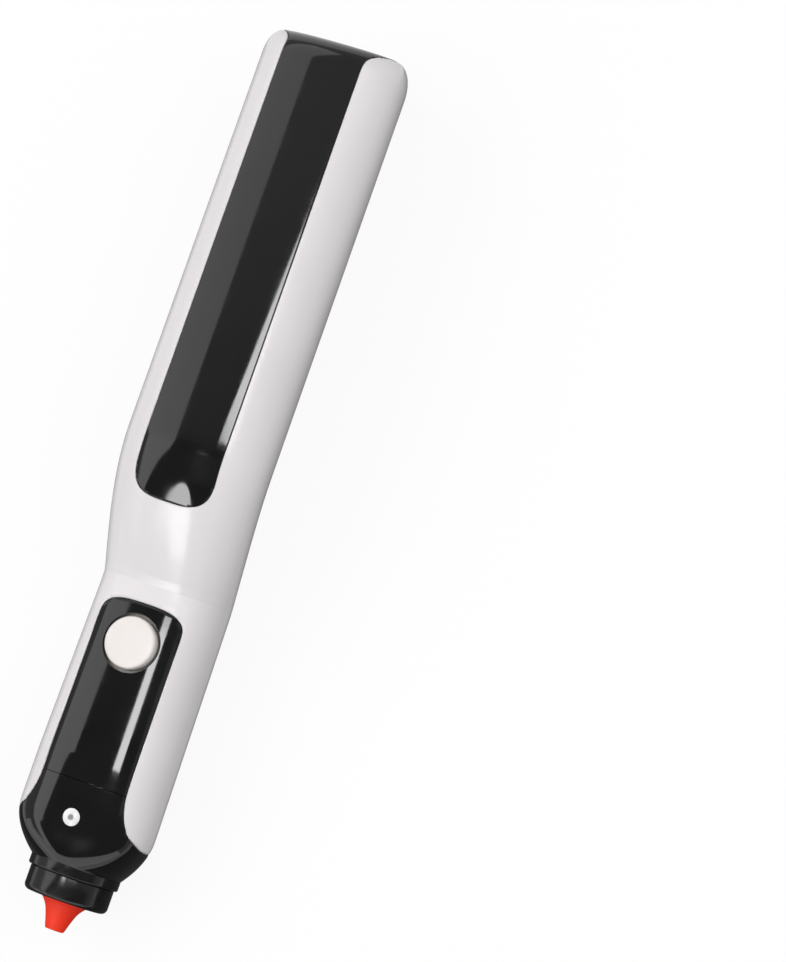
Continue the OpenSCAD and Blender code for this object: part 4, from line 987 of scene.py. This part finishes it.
finish, tree, shader = start_finish("orange_silicone", 0.5)
shader.inputs["Specular IOR Level"].default_value = 0.2
shader.inputs["Subsurface Weight"].default_value = 0.12
shader.inputs["Subsurface Radius"].default_value = (0.0012, 0.0004, 0.0002)
tint(tree, shader, clouds(tree, 3), (0.97, 0.03, 0.006), (0.995, 0.04, 0.01))
gloss(tree, shader, clouds(tree, 1), 0.46, 0.58)
relief(tree, shader, [(clouds(tree, 0.3, 3), 0.004)])
finishes["orange_silicone"] = finish
print("finishes so far:", len(finishes))

# %% [markdown]
# ## Finishes of the works
# The works inside are seen only when the covers are off, but they are dressed too: turned
# and drawn metal with fine lines along the work, ceramic, circuit board, plain mouldings
# and the cell's film. Each could have its own cell, but one recipe serves them all. A row
# of its lists holds two colours, the span of roughness, the grain's size in millimetres,
# how far it is drawn out along x, y and z, and its height in millimetres.

# %% Finishes from a list
EVEN = (1, 1, 1)
METALS = {
    "brass": ((0.55, 0.37, 0.11), (0.66, 0.46, 0.16), (0.22, 0.34), 0.4, (6, 1, 1), 0.003),
    "aluminium": ((0.62, 0.63, 0.64), (0.72, 0.73, 0.74), (0.26, 0.4), 0.3, (8, 1, 1), 0.003),
    "steel": ((0.44, 0.45, 0.47), (0.56, 0.57, 0.59), (0.22, 0.36), 0.25, (10, 1, 1), 0.002),
}
OTHERS = {
    "ceramic": ((0.78, 0.76, 0.72), (0.86, 0.84, 0.8), (0.5, 0.65), 0.3, EVEN, 0.006),
    "circuit_board": ((0.008, 0.09, 0.035), (0.015, 0.13, 0.055), (0.28, 0.4), 0.5, EVEN, 0.006),
    "grey_frame": ((0.085, 0.09, 0.1), (0.11, 0.115, 0.125), (0.42, 0.55), 0.4, EVEN, 0.006),
    "nylon": ((0.72, 0.67, 0.54), (0.8, 0.75, 0.62), (0.36, 0.46), 0.5, EVEN, 0.004),
    "clear_tube": ((0.6, 0.61, 0.63), (0.7, 0.71, 0.73), (0.14, 0.24), 0.8, (12, 1, 1), 0.004),
    "cell_wrap": ((0.01, 0.035, 0.26), (0.016, 0.05, 0.34), (0.2, 0.3), 1.5, (1, 4, 4), 0.006),
    "dark_plastic": ((0.008, 0.008, 0.009), (0.014, 0.014, 0.015), (0.45, 0.6), 0.3, EVEN, 0.005),
    "foam": ((0.014, 0.014, 0.016), (0.026, 0.026, 0.03), (0.85, 0.95), 0.5, EVEN, 0.12),
}
for metal, works in ((1, METALS), (0, OTHERS)):
    for name, (dark, light, rough, grain, stretch, height) in works.items():
        finish, tree, shader = start_finish(name, rough[0], metal)
        lines = clouds(tree, grain, 3, stretch)
        tint(tree, shader, clouds(tree, 6), dark, light)
        gloss(tree, shader, lines, *rough)
        relief(tree, shader, [(lines, height)])
        finishes[name] = finish
print("finishes in all:", len(finishes))

# %% [markdown]
# ## Dress the pen
# Each fine piece takes the place of its solid, rides on the body that carries it and
# names the finish it belongs to. Parenting and hiding by hand would do the same, but it
# is easily forgotten for one piece, so one function does it for all.

# %% Fine pieces in place of their solids
slot_of = {part["node"]: part["material_slot"] for part in frame["record"]["subparts"]}
fine_nodes = set()


def dress(piece, name, node, finish=None, body="housing"):
    piece.name = piece.data.name = name
    piece.data.materials.clear()
    piece.data.materials.append(finishes[finish or slot_of[node]])
    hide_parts(node)
    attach(piece, body)
    fine_nodes.add(node)


dress(upper_half, "upper_white_half", "upper_housing")
dress(lower_half, "lower_white_half", "lower_housing")
dress(rear_cover, "black_rear_cover", "rear_cover")
dress(front_panel, "black_front_panel", "front_panel")
dress(nose, "black_nose", "nose_cone")
dress(heat_ring, "black_heat_ring", "heat_ring", "heat_black")
dress(collar_nut, "black_collar_nut", "collar_nut", "heat_black")
dress(nozzle_sleeve, "orange_nozzle_sleeve", "nozzle_sleeve")
dress(push_button, "white_push_button", "button_cap", body="button")
dress(lens, "milky_lens", "indicator_lens")
dress(inlet_bush, "stick_inlet_bush", "inlet_bush")
print("fine pieces:", len(fine_nodes))

# %% [markdown]
# ## Dress the works
# The works keep their solids, which are as fine as they need to be. A finish could be
# picked for each by hand, but the frame's record already names one for every solid.

# %% Finishes for the solids that stay
for node, solid in frame["nodes"].items():
    if node not in fine_nodes:
        solid.data.materials.clear()
        solid.data.materials.append(finishes[slot_of[node]])
print("solids kept:", len(frame["nodes"]) - len(fine_nodes))

# %% [markdown]
# ## Floor
# The pen lies on white paper. More light would make a grey floor white, but it would burn
# out the white plastic too. So nine tenths of what the camera and reflections see of the
# floor is its own white, and the rest is paper that takes the shadow. All other rays meet
# a darker paper, so that it throws little light back under the pen.

# %% Floor
OWN_WHITE, DARK_PAPER, PALE_PAPER = 0.9, 0.3, 0.95


def level(x, y, z):
    """Corners of a level sheet between two places along the pen and two across it."""
    return [(x[0], y[0], z), (x[1], y[0], z), (x[1], y[1], z), (x[0], y[1], z)]


def plane(name, corners):
    mesh = bpy.data.meshes.new(name)
    mesh.from_pydata(corners, [], [range(len(corners))])
    sheet = bpy.data.objects.new(name, mesh)
    bpy.context.scene.collection.objects.link(sheet)
    return sheet


floor = plane("floor", level((-6, 6), (-6, 6), 0))
paper = bpy.data.materials.new("white_paper")
paper.use_nodes = True
tree = paper.node_tree
tree.nodes.clear()
grey = tree.nodes.new("ShaderNodeBsdfDiffuse")
white = tree.nodes.new("ShaderNodeEmission")
rays = tree.nodes.new("ShaderNodeLightPath")
share = tree.nodes.new("ShaderNodeMath")
share.operation = "MULTIPLY"
share.inputs[1].default_value = OWN_WHITE
bright = values_between(tree, (0, 1, DARK_PAPER, PALE_PAPER))
total = rays.outputs["Is Camera Ray"]
for name in ("Is Glossy Ray", "Is Transmission Ray"):
    add = tree.nodes.new("ShaderNodeMath")
    add.operation, add.use_clamp = "ADD", True
    tree.links.new(total, add.inputs[0])
    tree.links.new(rays.outputs[name], add.inputs[1])
    total = add.outputs["Value"]
blend = tree.nodes.new("ShaderNodeMixShader")
out = tree.nodes.new("ShaderNodeOutputMaterial")
tree.links.new(total, share.inputs[0])
tree.links.new(total, bright.inputs["Value"])
tree.links.new(bright.outputs["Result"], grey.inputs["Color"])
tree.links.new(share.outputs["Value"], blend.inputs[0])
tree.links.new(grey.outputs["BSDF"], blend.inputs[1])
tree.links.new(white.outputs["Emission"], blend.inputs[2])
tree.links.new(blend.outputs["Shader"], out.inputs["Surface"])
floor.data.materials.append(paper)
print("floor material:", paper.name)

# %% [markdown]
# ## Cards and flags
# Black gloss has hardly any colour of its own and shows the room instead, so each mark on
# it is a sheet placed where the mirror law sends the eye. The long left card gives the
# grey band, narrower towards the front. The panel strip overhead and the rear strip at
# the right give the two thin streaks, and the low front card gives the band round the
# nose. Flags are dark cards: they hide a strip or a lamp from a part of the pen that
# should stay black, and the mat under the pen draws its dark outer edge. Lamps could make
# these marks too, but sheets take any outline, and as only reflections see them they leave
# the white plastic alone.

# %% A card and its grading
def card(name, corners, strength):
    """A glowing sheet that only reflections see. Returns its node tree and its emission node."""
    sheet = plane(name, corners)
    glow = bpy.data.materials.new(name)
    glow.use_nodes = True
    glow.node_tree.nodes.clear()
    even = glow.node_tree.nodes.new("ShaderNodeEmission")
    even.inputs["Strength"].default_value = strength
    out = glow.node_tree.nodes.new("ShaderNodeOutputMaterial")
    glow.node_tree.links.new(even.outputs["Emission"], out.inputs["Surface"])
    sheet.data.materials.append(glow)
    sheet.visible_camera = sheet.visible_diffuse = sheet.visible_shadow = False
    sheet.visible_transmission = sheet.visible_volume_scatter = False
    return glow.node_tree, even


def grade(tree, even, start, end, first, last):
    """Lets a card's glow run from first to last between two places along the pen."""
    place = tree.nodes.new("ShaderNodeTexCoord")
    along = tree.nodes.new("ShaderNodeSeparateXYZ")
    fade = values_between(tree, (start, end, first, last))
    tree.links.new(place.outputs["Object"], along.inputs["Vector"])
    tree.links.new(along.outputs["X"], fade.inputs["Value"])
    tree.links.new(fade.outputs["Result"], even.inputs["Strength"])


print("card helpers ready")

# %% [markdown]
# ## Place the cards
# The flags hang between the pen and a lamp or strip, the cards stand round it. They
# could be placed by eye in the viewport, but reflections on a curved skin jump about, so
# each corner is written down in metres and was moved until its mark lay right.

# %% Place the flags and cards
tree, even = card("grip_flag", level((-0.3, 1), (-1.3, 0.5), 1.2), 0.13)
grade(tree, even, -0.27, -0.03, 0.45, 0.13)
card("nose_flag", [
    (0.077, -0.028, 0.075), (0.1, -0.055, 0.075), (0.2, -0.06, 0.075),
    (0.2, 0.2, 0.075), (0.077, 0.2, 0.075)], 0.1)
card("slope_flag", [
    (0.012, -0.002, 0.058), (0.012, 0.3, 0.058), (0.012, 0.3, 0.343), (0.012, -0.039, 0.343)], 0.2)
card("foot_flag", level((0.0185, 0.0252), (-0.012, 0.012), 0.0285), 0.6)
card("edge_mat", level((-0.1, 0.17), (-0.075, 0.085), 0.0005), 0.08)
card("front_card", [
    (0.75, -1.4, 0.02), (0.75, 0.7, 0.02), (0.75, 0.7, 0.36),
    (0.75, -0.9, 0.36), (0.75, -1.4, 0.6)], 1.5)
card("panel_strip", level((0.0118, 0.1), (-0.038, 0.018), 0.35), 15)
card("rear_strip", [
    (-0.22, 0.37, 1), (-0.1, 0.17, 1), (-0.1, 0.62, 1), (-0.15, 0.6, 1), (-0.2, 0.42, 1)], 13.5)
tree, even = card("left_card", [
    (-2.2, -0.415, 0.935), (-0.02, -0.415, 0.935), (0.1, -0.44, 0.91), (0.25, -0.53, 0.82),
    (0.5, -0.65, 0.7), (1.3, -0.7, 0.649), (1.3, -0.79, 0.558), (-0.02, -0.79, 0.558),
    (-0.1, -0.914, 0.432), (-2.2, -0.914, 0.432)], 1.5)
grade(tree, even, -0.2, 0.05, 1.45, 1.95)

# %% [markdown]
# ## Lamps and world
# White plastic is shaped by lamps: a large softbox at the left and a weaker fill at the
# right, which light plain colours only and so leave no mark on the gloss. An oval lamp
# ahead does the opposite and makes the arch at the end of the rear cover. A sun would be
# simpler, but its shadow is too hard for this picture. The world is an even white sky that
# keeps the shadows light.

# %% Lamps and world
def soft_lamp(name, at, aim, width, depth, radiance, diffuse=True, glossy=True, shape="RECTANGLE"):
    """An area lamp of even brightness: its power follows from its area."""
    light = bpy.data.lights.new(name, "AREA")
    light.shape, light.size, light.size_y = shape, width, depth
    light.energy = radiance * math.pi * width * depth * (math.pi / 4 if shape == "ELLIPSE" else 1)
    lamp = bpy.data.objects.new(name, light)
    bpy.context.scene.collection.objects.link(lamp)
    back = (Vector(at) - Vector(aim)).normalized()
    side = (Vector((1, 0, 0)) - back * back.x).normalized()
    turn = Matrix((side, back.cross(side), back)).transposed().to_4x4()
    lamp.matrix_world = Matrix.Translation(at) @ turn
    lamp.visible_camera, lamp.visible_diffuse, lamp.visible_glossy = False, diffuse, glossy


pen_middle, bell = (0, 0, 0.02), (0.005, 0, 0.03)
soft_lamp("left_softbox", (0.02, -0.71, 0.84), pen_middle, 1.5, 0.8, 1.95, glossy=False)
soft_lamp("right_fill", (-0.12, 0.75, 0.7), pen_middle, 1.2, 0.7, 1.8, glossy=False)
soft_lamp("bell_lamp", (0.57, -0.173, 0.69), bell, 0.46, 0.28, 11, diffuse=False, shape="ELLIPSE")
world = bpy.data.worlds.new("studio")
bpy.context.scene.world = world
world.use_nodes = True
sky = world.node_tree.nodes["Background"]
sky.inputs["Color"].default_value = (1, 1, 1, 1)
sky.inputs["Strength"].default_value = 0.45
